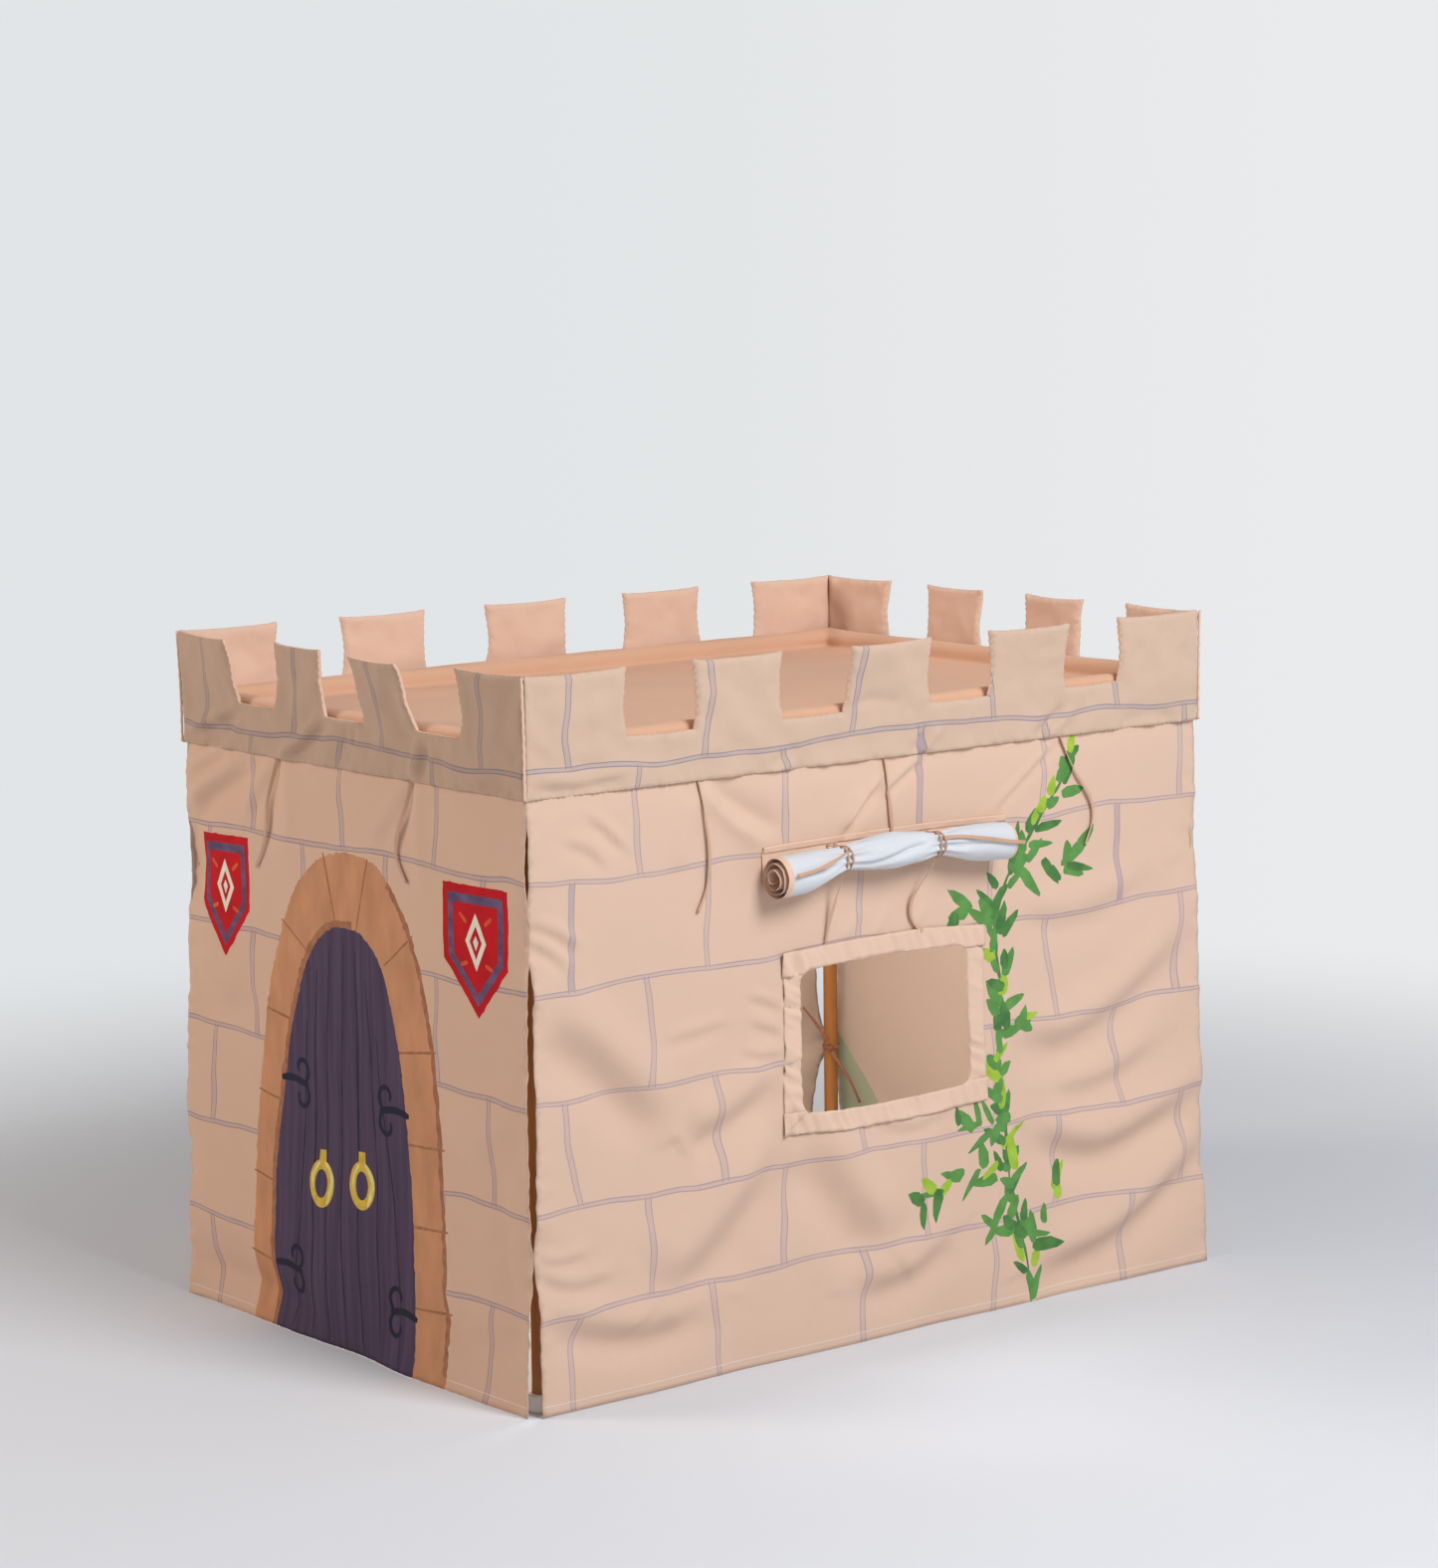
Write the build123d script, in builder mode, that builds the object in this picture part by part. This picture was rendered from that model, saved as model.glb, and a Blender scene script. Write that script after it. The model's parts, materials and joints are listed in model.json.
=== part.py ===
from build123d import *
import math
import os

# A child's play castle: a sewn cloth cover with padded battlements, hung over a frame of round wooden poles.
# Millimetres, +Z up. The door wall faces -Y, the window wall faces +X, and the floor is Z = 0.

os.makedirs("parts", exist_ok=True)

# Outside of the cover
castle_length = 1200.0
castle_width = 816.0
seam_height = 798.0
band_height = 68.0
hem_clearance = 4.0

# Padded battlements
pad_thickness = 13.0
pad_round = 4.4
merlon_rise = 91.0
merlon_waist = 3.0
merlon_sag = 2.5
long_merlon = 144.0
long_corner_merlon = 160.0
long_merlon_count = 3
short_merlon = 120.0
short_corner_merlon = 145.0
short_merlon_count = 2

# Cloth and the small gaps between the layers
cloth_gap = 0.3
roof_cloth = 1.6
wall_thickness = 2.5

# Frame of poles
dowel_diameter = 22.0
dowel_fit = 0.2
dowel_chamfer = 1.2
socket_wall = 3.0
socket_floor = 15.0
socket_length = 38.0
socket_chamfer = 0.8
cap_wall = 6.0
cap_height = 24.0
cap_floor = 4.0
cap_round = 3.0

# Sleeve of the roof cloth over the rails
sleeve_rise = 10.0
roof_drop = 27.0

# Walls, which lean outwards and stir at the hem
hem_out = 10.0
wave_start = 520.0
hem_overlap = 16.0
hem_tuck = 2.0

# Window in the right wall
window_width = 300.0
window_height = 192.0
window_drop = 273.0
window_shift = -1.0
window_corner = 24.0
facing_width = 29.0
facing_corner = 3.0
facing_thickness = 1.6

# Rolled blind over the window
header_drop = 103.0
header_width = 13.0
header_thickness = 2.5
header_start = -223.0
header_end = 205.0
roll_drop = 130.0
roll_start = -223.0
roll_end = 211.0
roll_radius = 27.0
belly_radius = 24.0
tail_end_radius = 25.0
roll_taper = 2.0
tail_taper = 1.0
waist_radius = 13.0
left_waist = -90.0
right_waist = 75.0
leaf_thickness = 1.6
spiral_core = 5.0
spiral_pitch = 5.2
spiral_half_turns = 7
spiral_groove = 1.5
spiral_depth = 14.0

# Ribbons
ribbon_width = 6.0
ribbon_thickness = 1.4
ribbon_tube = 3.0
upper_tie_height = 625.0
lower_tie_height = 203.0
knot_size = 11.0
tie_slack = 0.8

# Sizes that follow from those above
crenel_height = seam_height + band_height
merlon_top = crenel_height + merlon_rise
dowel_radius = dowel_diameter / 2
bore_radius = dowel_radius + dowel_fit
fitting_radius = bore_radius + socket_wall
socket_mouth = socket_floor + socket_length
sleeve_inner = fitting_radius + cloth_gap
sleeve_outer = sleeve_inner + roof_cloth
frame_inset = pad_thickness + cloth_gap + sleeve_outer
rail_height = crenel_height + sleeve_rise - sleeve_outer
roof_height = crenel_height + sleeve_rise - roof_drop
wall_inset = (pad_thickness - wall_thickness) / 2
wall_drop = seam_height - hem_clearance
slit_inset = wall_inset + wall_thickness + cloth_gap
wall_lean = math.degrees(math.asin(hem_out / wall_drop))
wall_slope = wall_drop / math.cos(math.radians(wall_lean))
roll_out = cloth_gap + roll_radius
blind_reach = roll_out + roll_radius - wall_inset + roll_drop * hem_out / wall_drop

# The origin is the bottom centre of the whole: the roll reaches out on the right, the long hem on the left
centre_x = -(blind_reach - hem_overlap) / 2

rail_x = castle_width / 2 - frame_inset
rail_y = castle_length / 2 - frame_inset

# Each side: the direction along it, seen from outside from left to right, and the direction out of it
sides = {
    "front": (Vector(1, 0, 0), Vector(0, -1, 0)),
    "right": (Vector(0, 1, 0), Vector(1, 0, 0)),
    "back": (Vector(-1, 0, 0), Vector(0, 1, 0)),
    "left": (Vector(0, -1, 0), Vector(-1, 0, 0)),
}
corners = {
    "front_left": (-1, -1),
    "front_right": (1, -1),
    "back_left": (-1, 1),
    "back_right": (1, 1),
}


def is_short(side):
    return side in ("front", "back")


def side_length(side):
    return castle_width if is_short(side) else castle_length


def side_plane(side, inset, height):
    """Upright plane of a side: x along it, y up, z outwards, inset from the battlements' outer face."""
    along, outward = sides[side]
    reach = (castle_length if is_short(side) else castle_width) / 2 - inset
    origin = Vector(centre_x, 0, height) + outward * reach
    return Plane(origin=origin, x_dir=along, z_dir=outward)


def hang_plane(side):
    """Outer face of a wall cloth: origin on the seam, y up the leaning cloth, z out of it."""
    along, outward = sides[side]
    lean = math.radians(wall_lean)
    out_of_cloth = outward * math.cos(lean) + Vector(0, 0, math.sin(lean))
    return Plane(origin=side_plane(side, wall_inset, seam_height).origin, x_dir=along, z_dir=out_of_cloth)


def down_wall(drop):
    """Where a drop below the seam lies on the leaning cloth, as a y value on its hang plane."""
    return -drop / math.cos(math.radians(wall_lean))


def corner_point(corner, height):
    """Point on the axis of a corner pole."""
    across, back = corners[corner]
    return Vector(centre_x + across * rail_x, back * rail_y, height)


def merlon_spans(side):
    """Start and end of each merlon along a side. The corner ones run on to the side's ends."""
    half = side_length(side) / 2
    count, width, at_corner = long_merlon_count, long_merlon, long_corner_merlon
    if is_short(side):
        count, width, at_corner = short_merlon_count, short_merlon, short_corner_merlon
    gap = (2 * half - 2 * at_corner - count * width) / (count + 1)
    spans = [(-half, -half + at_corner)]
    for index in range(count):
        start = -half + at_corner + gap + index * (width + gap)
        spans.append((start, start + width))
    spans.append((half - at_corner, half))
    return spans


def route_radii(points):
    """Largest arcs that the runs of a ribbon's route allow."""
    radii = []
    for before, here, after in zip(points, points[1:], points[2:]):
        run_in, run_out = Vector(*here) - Vector(*before), Vector(*after) - Vector(*here)
        half_turn = math.radians(run_in.get_angle(run_out)) / 2
        radii.append(0.45 * min(run_in.length, run_out.length) / math.tan(half_turn))
    return radii


# Frame: corner fittings, rails, poles and the caps they stand in
for name in corners:
    across, back = corners[name]
    arms = [Vector(-across, 0, 0), Vector(0, -back, 0), Vector(0, 0, -1)]
    with BuildPart() as corner_fitting:
        Sphere(fitting_radius)
        for arm in arms:
            with BuildSketch(Plane(origin=(0, 0, 0), z_dir=arm)):
                Circle(fitting_radius)
            extrude(amount=socket_mouth)
        for arm in arms:
            with BuildSketch(Plane(origin=arm * socket_floor, z_dir=arm)):
                Circle(bore_radius)
            extrude(amount=socket_length, mode=Mode.SUBTRACT)
            mouth = corner_fitting.faces().sort_by(Axis((0, 0, 0), arm))[-1]
            chamfer(mouth.edges().sort_by(SortBy.RADIUS)[0], length=socket_chamfer)
    fitting_in_place = corner_fitting.part.moved(Location(corner_point(name, rail_height)))
    fitting_in_place.label = "corner_fitting_" + name
    export_step(fitting_in_place, "parts/corner_fitting_" + name + ".step")

    with BuildPart() as pole:
        with BuildSketch(Plane(origin=corner_point(name, cap_floor))):
            Circle(dowel_radius)
        extrude(amount=rail_height - socket_floor - cap_floor)
        chamfer(pole.edges().filter_by(GeomType.CIRCLE), length=dowel_chamfer)
    pole.part.label = "pole_" + name
    export_step(pole.part, "parts/pole_" + name + ".step")

    with BuildPart() as foot_cap:
        with BuildSketch(Plane(origin=corner_point(name, 0))):
            Circle(bore_radius + cap_wall)
        extrude(amount=cap_height)
        fillet(foot_cap.edges().filter_by(GeomType.CIRCLE), radius=cap_round)
        with BuildSketch(Plane(origin=corner_point(name, cap_floor))):
            Circle(bore_radius)
        extrude(amount=cap_height, mode=Mode.SUBTRACT)
    foot_cap.part.label = "foot_cap_" + name
    export_step(foot_cap.part, "parts/foot_cap_" + name + ".step")

for side in sides:
    along, outward = sides[side]
    half_rail = (rail_x if is_short(side) else rail_y) - socket_floor
    middle = side_plane(side, frame_inset, rail_height).origin
    with BuildPart() as rail:
        with BuildSketch(Plane(origin=middle - along * half_rail, z_dir=along)):
            Circle(dowel_radius)
        extrude(amount=2 * half_rail)
        chamfer(rail.edges().filter_by(GeomType.CIRCLE), length=dowel_chamfer)
    rail.part.label = "rail_" + side
    export_step(rail.part, "parts/rail_" + side + ".step")

# Roof cloth: flat inside, up and over the rails as a sleeve, and down outside them to the seam
with BuildPart() as roof_cover:
    with BuildLine():
        rim_path = Polyline(
            (centre_x, -rail_y, rail_height),
            (centre_x - rail_x, -rail_y, rail_height),
            (centre_x - rail_x, rail_y, rail_height),
            (centre_x + rail_x, rail_y, rail_height),
            (centre_x + rail_x, -rail_y, rail_height),
            close=True,
        )
    with BuildSketch(Plane(origin=(centre_x, -rail_y, rail_height), x_dir=(0, -1, 0), z_dir=(-1, 0, 0))):
        with BuildLine():
            skirt_end = seam_height - rail_height
            roof_under = roof_height - roof_cloth - rail_height
            Line((sleeve_inner, skirt_end), (sleeve_outer, skirt_end))
            Line((sleeve_outer, skirt_end), (sleeve_outer, 0))
            ThreePointArc((sleeve_outer, 0), (0, sleeve_outer), (-sleeve_outer, 0))
            Line((-sleeve_outer, 0), (-sleeve_outer, roof_under))
            Line((-sleeve_outer, roof_under), (-sleeve_inner, roof_under))
            Line((-sleeve_inner, roof_under), (-sleeve_inner, 0))
            ThreePointArc((-sleeve_inner, 0), (0, sleeve_inner), (sleeve_inner, 0))
            Line((sleeve_inner, 0), (sleeve_inner, skirt_end))
        make_face()
    sweep(path=rim_path, transition=Transition.RIGHT)
    with BuildSketch(Plane(origin=(centre_x, 0, roof_height - roof_cloth))):
        Rectangle(2 * (rail_x - sleeve_inner), 2 * (rail_y - sleeve_inner))
    extrude(amount=roof_cloth)
roof_cover.part.label = "roof_cover"
export_step(roof_cover.part, "parts/roof_cover.step")

# Battlements: one padded panel a side, mitred at the corners, its merlons pulled in between their ears
for side in sides:
    along, outward = sides[side]
    half = side_length(side) / 2
    end = half + pad_thickness
    spans = merlon_spans(side)
    with BuildPart() as battlement:
        with BuildSketch(side_plane(side, pad_thickness, 0)):
            with BuildLine():
                Line((end, seam_height), (-end, seam_height))
                Line((-end, seam_height), (-end, merlon_top))
                Line((-end, merlon_top), (-half, merlon_top))
                for index, (start, stop) in enumerate(spans):
                    middle = (start + stop) / 2
                    ThreePointArc(
                        (start, merlon_top), (middle, merlon_top - merlon_sag), (stop, merlon_top)
                    )
                    if index + 1 < len(spans):
                        following = spans[index + 1][0]
                        waist_height = (crenel_height + merlon_top) / 2
                        ThreePointArc(
                            (stop, merlon_top), (stop - merlon_waist, waist_height), (stop, crenel_height)
                        )
                        Line((stop, crenel_height), (following, crenel_height))
                        ThreePointArc(
                            (following, crenel_height),
                            (following + merlon_waist, waist_height),
                            (following, merlon_top),
                        )
                Line((half, merlon_top), (end, merlon_top))
                Line((end, merlon_top), (end, seam_height))
            make_face()
        extrude(amount=pad_thickness)
        faces_across = battlement.faces().sort_by(Axis((0, 0, 0), outward))
        fillet(faces_across[-1].edges() + faces_across[0].edges(), radius=pad_round)
        for turn in (1, -1):
            mitre = side_plane(side, 0, 0).from_local_coords((turn * half, 0, 0))
            split(bisect_by=Plane(origin=mitre, z_dir=along * turn - outward), keep=Keep.BOTTOM)
    battlement.part.label = "battlement_" + side
    export_step(battlement.part, "parts/battlement_" + side + ".step")

# Walls: how far each hem passes the corner at its left and right end, and how it stirs in and out
hem_ends = {
    "front": (hem_overlap, -hem_tuck),
    "right": (-hem_tuck, hem_overlap),
    "back": (-hem_tuck, -hem_tuck),
    "left": (-hem_tuck, -hem_tuck),
}
hem_waves = {
    "front": [2.0, -3.0, 5.0, -2.0, 1.0, -2.0, 4.0],
    "right": [1.0, 3.0, -3.0, 2.0, -2.0, 4.0, 0.0, 3.0],
    "back": [2.0, -3.0, 2.0, -1.0, 3.0, 0.0],
    "left": [1.0, 3.0, -2.0, 3.0, -3.0, 2.0, -1.0, 2.0],
}
for side in sides:
    along, outward = sides[side]
    hang = hang_plane(side)
    top_half = side_length(side) / 2 - slit_inset
    left_hem, right_hem = hem_ends[side]
    hem_start, hem_stop = -side_length(side) / 2 - left_hem, side_length(side) / 2 + right_hem
    eased = wave_start / wall_slope
    wave_left = -top_half + (hem_start + top_half) * eased
    wave_right = top_half + (hem_stop - top_half) * eased
    waves = hem_waves[side]
    step = (hem_stop - hem_start) / (len(waves) - 1)
    outer_hem = [(hem_start + index * step, -wave) for index, wave in enumerate(waves)]
    inner_hem = [(x, y + wall_thickness) for x, y in reversed(outer_hem)]
    with BuildPart() as wall:
        for depth, left, right in ((0, -top_half, top_half), (wave_start, wave_left, wave_right)):
            level = hang.from_local_coords((0, -depth, 0))
            with BuildSketch(Plane(origin=level, x_dir=along, z_dir=hang.y_dir)):
                with BuildLine():
                    Polyline(
                        (left, 0), (right, 0), (right, wall_thickness), (left, wall_thickness), close=True
                    )
                make_face()
        hem_level = hang.from_local_coords((0, -wall_slope, 0))
        with BuildSketch(Plane(origin=hem_level, x_dir=along, z_dir=hang.y_dir)):
            with BuildLine():
                Spline(*outer_hem)
                Line(outer_hem[-1], inner_hem[0])
                Spline(*inner_hem)
                Line(inner_hem[-1], outer_hem[0])
            make_face()
        loft(ruled=True)
        if side == "right":
            window_middle = down_wall(window_drop + window_height / 2)
            with BuildSketch(hang):
                with Locations((window_shift, window_middle)):
                    RectangleRounded(window_width, window_height, window_corner)
            extrude(amount=2 * wall_thickness, both=True, mode=Mode.SUBTRACT)
    wall.part.label = "wall_" + side
    export_step(wall.part, "parts/wall_" + side + ".step")

# Window facing, sewn flat round the opening
window_wall = hang_plane("right")
with BuildPart() as window_facing:
    with BuildSketch(window_wall):
        with Locations((window_shift, window_middle)):
            RectangleRounded(window_width + 2 * facing_width, window_height + 2 * facing_width, facing_corner)
            RectangleRounded(window_width, window_height, window_corner, mode=Mode.SUBTRACT)
    extrude(amount=facing_thickness)
window_facing.part.label = "window_facing"
export_step(window_facing.part, "parts/window_facing.step")

# Header strip that the blind hangs from
header_level = down_wall(header_drop)
with BuildPart() as blind_header:
    with BuildSketch(window_wall):
        with Locations(((header_start + header_end) / 2, header_level)):
            Rectangle(header_end - header_start, header_width)
    extrude(amount=header_thickness)
    fillet(blind_header.faces().sort_by(Axis.X)[-1].edges(), radius=header_thickness / 3)
blind_header.part.label = "blind_header"
export_step(blind_header.part, "parts/blind_header.step")

# Rolled blind: swollen between the ties, open spirals at its ends, and the leaf that joins it to the header
roll_level = down_wall(roll_drop)
roll_axis_start = window_wall.from_local_coords((0, roll_level, roll_out))
roll_axis = Axis(roll_axis_start, window_wall.x_dir)
roll_shape = [
    (roll_start, roll_radius),
    ((roll_start + left_waist) / 2, roll_radius - roll_taper),
    (left_waist, waist_radius),
    ((left_waist + right_waist) / 2, belly_radius),
    (right_waist, waist_radius),
    ((right_waist + roll_end) / 2, tail_end_radius - tail_taper),
    (roll_end, tail_end_radius),
]
with BuildPart() as blind_roll:
    with BuildSketch(Plane(origin=roll_axis_start, x_dir=window_wall.x_dir, z_dir=window_wall.z_dir)):
        with BuildLine():
            Line((roll_start, 0), (roll_start, roll_radius))
            Spline(*roll_shape, tangents=[(1, 0), (1, 0)])
            Line((roll_end, tail_end_radius), (roll_end, 0))
            Line((roll_end, 0), (roll_start, 0))
        make_face()
    revolve(axis=roll_axis)
    leaf_top = header_level - header_width / 2 - cloth_gap
    with BuildSketch(window_wall.offset(cloth_gap)):
        with Locations(((roll_start + roll_end) / 2, (leaf_top + roll_level) / 2)):
            Rectangle(roll_end - roll_start, leaf_top - roll_level)
    extrude(amount=leaf_thickness)
    for end_at, inward in ((roll_start, 1), (roll_end, -1)):
        end_centre = window_wall.from_local_coords((end_at, roll_level, roll_out))
        end_plane = Plane(origin=end_centre, x_dir=window_wall.z_dir, z_dir=window_wall.x_dir * inward)
        with BuildSketch(end_plane):
            Circle(spiral_core)
            with BuildLine() as spiral:
                for half_turn in range(spiral_half_turns):
                    swing = 1 if half_turn % 2 == 0 else -1
                    inner = spiral_core + half_turn * spiral_pitch / 2
                    outer = inner + spiral_pitch / 2
                    middle = (inner - outer) / 2 * swing
                    ThreePointArc(
                        (swing * inner, 0), (middle, swing * (inner + outer) / 2), (-swing * outer, 0)
                    )
            trace(spiral.line, line_width=spiral_groove)
        extrude(amount=spiral_depth, mode=Mode.SUBTRACT)
blind_roll.part.label = "blind_roll"
export_step(blind_roll.part, "parts/blind_roll.step")

# Ties round the roll's waists, each running back to the header
tie_inner = waist_radius + cloth_gap
tie_outer = tie_inner + ribbon_thickness
tie_middle = (tie_inner + tie_outer) / 2
header_face = header_thickness + cloth_gap + ribbon_thickness - roll_out
to_header = Vector(header_face, roll_level - header_level)
for tie_name, waist_at in (("left", left_waist), ("right", right_waist)):
    waist_centre = window_wall.from_local_coords((waist_at - ribbon_width / 2, roll_level, roll_out))
    with BuildPart() as blind_tie:
        with BuildSketch(Plane(origin=waist_centre, x_dir=window_wall.z_dir, z_dir=window_wall.x_dir)):
            with BuildLine() as strap:
                Line(to_header.normalized() * tie_middle, to_header)
            trace(strap.line, line_width=ribbon_thickness)
            Circle(tie_outer)
            Circle(tie_inner, mode=Mode.SUBTRACT)
        extrude(amount=ribbon_width)
    blind_tie.part.label = "blind_tie_" + tie_name
    export_step(blind_tie.part, "parts/blind_tie_" + tie_name + ".step")

# Corner ties: a ribbon round each pole at two heights, sewn to both walls' edges and knotted inside
tie_ring = dowel_radius + cloth_gap
tie_heights = {"upper": upper_tie_height, "lower": lower_tie_height}
knots = {}
for name in corners:
    across, back = corners[name]
    for level in tie_heights:
        centre = corner_point(name, tie_heights[level] - ribbon_width / 2)
        lean_out = hem_out * (seam_height - tie_heights[level]) / wall_drop
        wall_gap = frame_inset - wall_inset - wall_thickness + lean_out - tie_slack
        strap_at = tie_ring + ribbon_thickness / 2
        knot_at = (tie_ring + knot_size / 2) / math.sqrt(2)
        with BuildPart() as corner_tie:
            with BuildSketch(Plane(origin=centre)):
                Circle(tie_ring + ribbon_thickness)
                with BuildLine() as straps:
                    Line((across * strap_at, 0), (across * strap_at, back * wall_gap))
                    Line((0, back * strap_at), (across * wall_gap, back * strap_at))
                trace(straps.line, line_width=ribbon_thickness)
                Circle(tie_ring, mode=Mode.SUBTRACT)
            extrude(amount=ribbon_width)
            knot_centre = centre + Vector(-across * knot_at, -back * knot_at, ribbon_width / 2)
            with Locations(knot_centre):
                Sphere(knot_size / 2)
            with BuildSketch(Plane(origin=centre - Vector(0, 0, ribbon_width))):
                Circle(tie_ring)
            extrude(amount=3 * ribbon_width, mode=Mode.SUBTRACT)
        knots[name, level] = knot_centre
        corner_tie.part.label = "corner_tie_" + name + "_" + level
        export_step(corner_tie.part, "parts/corner_tie_" + name + "_" + level + ".step")

# Routes of the free ribbon ends. On a wall: along it, drop below the seam, distance out of the cloth
wall_ribbons = {
    "ribbon_front_left": (
        "front",
        [
            (-166.0, 0.5, 2.0),
            (-178.0, 28.5, 2.8),
            (-191.0, 61.0, 4.5),
            (-193.0, 89.0, 5.0),
            (-197.0, 117.0, 4.0),
            (-206.0, 138.0, 3.2),
            (-221.0, 155.0, 3.0),
        ],
    ),
    "ribbon_front_right": (
        "front",
        [
            (151.0, 0.5, 2.0),
            (148.0, 20.0, 3.0),
            (135.0, 46.0, 4.5),
            (120.0, 71.0, 5.0),
            (117.0, 93.0, 4.0),
            (127.0, 117.0, 3.5),
            (143.0, 134.0, 3.0),
        ],
    ),
    "ribbon_right_near": (
        "right",
        [
            (-318.0, 0.5, 2.0),
            (-314.5, 29.0, 3.2),
            (-308.0, 63.0, 5.0),
            (-305.0, 94.0, 5.0),
            (-306.0, 124.0, 4.0),
            (-312.0, 150.0, 3.2),
            (-325.0, 172.0, 3.0),
        ],
    ),
    "ribbon_right_middle": (
        "right",
        [
            (3.0, 0.5, 2.0),
            (5.0, 28.0, 3.5),
            (8.5, 56.0, 4.2),
            (10.0, 82.0, 4.8),
            (11.0, 96.0, 4.9),
            (11.5, 108.0, 4.7),
        ],
    ),
    "ribbon_right_far": (
        "right",
        [
            (329.0, 0.5, 2.0),
            (338.0, 26.0, 3.5),
            (354.0, 53.0, 5.0),
            (372.0, 76.0, 5.5),
            (386.0, 98.0, 5.0),
            (388.0, 121.0, 4.0),
            (381.0, 141.0, 3.2),
            (373.0, 157.0, 3.0),
        ],
    ),
    "blind_tail_left_over": (
        "right",
        [
            (-91.5, 117.1, 37.5),
            (-108.0, 115.0, 45.5),
            (-130.0, 118.0, 52.5),
            (-155.0, 122.5, 57.5),
            (-178.0, 126.5, 59.5),
            (-199.0, 129.5, 59.5),
        ],
    ),
    "blind_tail_left_hanging": (
        "right",
        [
            (-90.5, 145.4, 27.2),
            (-94.0, 161.0, 22.5),
            (-98.0, 180.0, 15.0),
            (-103.0, 203.0, 8.5),
            (-109.0, 226.0, 5.0),
            (-117.0, 238.0, 4.2),
        ],
    ),
    "blind_tail_right_over": (
        "right",
        [
            (76.5, 117.1, 37.5),
            (93.0, 113.5, 45.0),
            (115.0, 115.0, 51.5),
            (140.0, 119.5, 55.5),
            (165.0, 124.0, 57.0),
            (188.0, 128.0, 57.0),
            (208.0, 131.0, 56.5),
        ],
    ),
    "blind_tail_right_hanging": (
        "right",
        [
            (74.5, 145.7, 27.2),
            (68.0, 161.0, 21.0),
            (55.0, 176.0, 13.0),
            (43.0, 197.0, 7.0),
            (42.0, 220.0, 5.0),
            (53.0, 238.0, 4.4),
            (66.0, 245.0, 4.2),
        ],
    ),
}
for name in wall_ribbons:
    side, route = wall_ribbons[name]
    points = [hang_plane(side).from_local_coords((x, down_wall(drop), out)) for x, drop, out in route]
    radii = route_radii(points)
    with BuildPart() as ribbon:
        with BuildLine() as ribbon_line:
            FilletPolyline(*points, radius=radii)
        with BuildSketch(Plane(origin=points[0], z_dir=points[1] - points[0])):
            Circle(ribbon_tube / 2)
        sweep(path=ribbon_line.wire())
    print(name, "length", round(ribbon_line.wire().length), "radii", [round(r) for r in radii])
    ribbon.part.label = name
    export_step(ribbon.part, "parts/" + name + ".step")

# Free ends of the corner ties, from the knot's surface: in from the pole across and back, and up
rising_end = [(0.0, 10.0, 20.0), (-8.0, 17.0, 37.0), (-19.0, 24.0, 53.0), (-30.0, 30.0, 67.0)]
falling_end = [(15.0, -2.0, -17.0), (27.0, -9.0, -36.0), (37.0, -18.0, -60.0), (42.0, -26.0, -85.0)]
for name, level in knots:
    across, back = corners[name]
    with BuildPart() as tie_tails:
        for route in (rising_end, falling_end):
            leaving = Vector(*route[0]).normalized() * (knot_size / 2 + cloth_gap)
            steps = [leaving] + [Vector(*step) for step in route]
            points = [knots[name, level] + Vector(-across * step.X, -back * step.Y, step.Z) for step in steps]
            radii = route_radii(points)
            with BuildLine() as tail_line:
                FilletPolyline(*points, radius=radii)
            with BuildSketch(Plane(origin=points[0], z_dir=points[1] - points[0])):
                Circle(ribbon_tube / 2)
            sweep(path=tail_line.wire())
            print(name, level, "length", round(tail_line.wire().length), "radii", [round(r) for r in radii])
    tie_tails.part.label = "tie_tails_" + name + "_" + level
    export_step(tie_tails.part, "parts/tie_tails_" + name + "_" + level + ".step")
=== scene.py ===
import bpy
import json
import math
import numpy as np
import random
from mathutils import Matrix, Vector, kdtree, noise
from mathutils.geometry import delaunay_2d_cdt

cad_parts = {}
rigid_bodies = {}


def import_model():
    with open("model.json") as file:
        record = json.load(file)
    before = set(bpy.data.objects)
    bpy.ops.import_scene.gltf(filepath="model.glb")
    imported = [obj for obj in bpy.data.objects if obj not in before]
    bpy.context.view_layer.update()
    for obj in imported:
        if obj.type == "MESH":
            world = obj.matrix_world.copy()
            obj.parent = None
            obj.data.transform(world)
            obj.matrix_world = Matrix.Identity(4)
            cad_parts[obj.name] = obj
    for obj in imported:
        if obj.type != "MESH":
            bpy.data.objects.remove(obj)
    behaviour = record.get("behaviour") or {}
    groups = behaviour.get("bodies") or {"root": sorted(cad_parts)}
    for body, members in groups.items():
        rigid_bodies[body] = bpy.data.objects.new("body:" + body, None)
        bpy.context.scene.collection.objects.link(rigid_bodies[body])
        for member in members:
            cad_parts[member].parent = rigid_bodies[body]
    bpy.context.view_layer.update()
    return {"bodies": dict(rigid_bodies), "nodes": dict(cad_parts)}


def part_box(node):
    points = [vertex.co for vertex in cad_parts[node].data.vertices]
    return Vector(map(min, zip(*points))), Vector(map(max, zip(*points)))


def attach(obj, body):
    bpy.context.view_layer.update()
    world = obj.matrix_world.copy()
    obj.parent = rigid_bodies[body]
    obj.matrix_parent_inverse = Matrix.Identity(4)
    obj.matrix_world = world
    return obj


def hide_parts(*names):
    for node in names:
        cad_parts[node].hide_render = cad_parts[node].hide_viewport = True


# A child's play castle: sewn and printed cloth with padded battlements over a frame of round poles.
# Metres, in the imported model's frame. The door wall faces -Y and the window wall +X.

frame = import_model()
body = next(iter(frame["bodies"]))
print("castle: packed frame loaded,", len(frame["nodes"]), "nodes")

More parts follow.
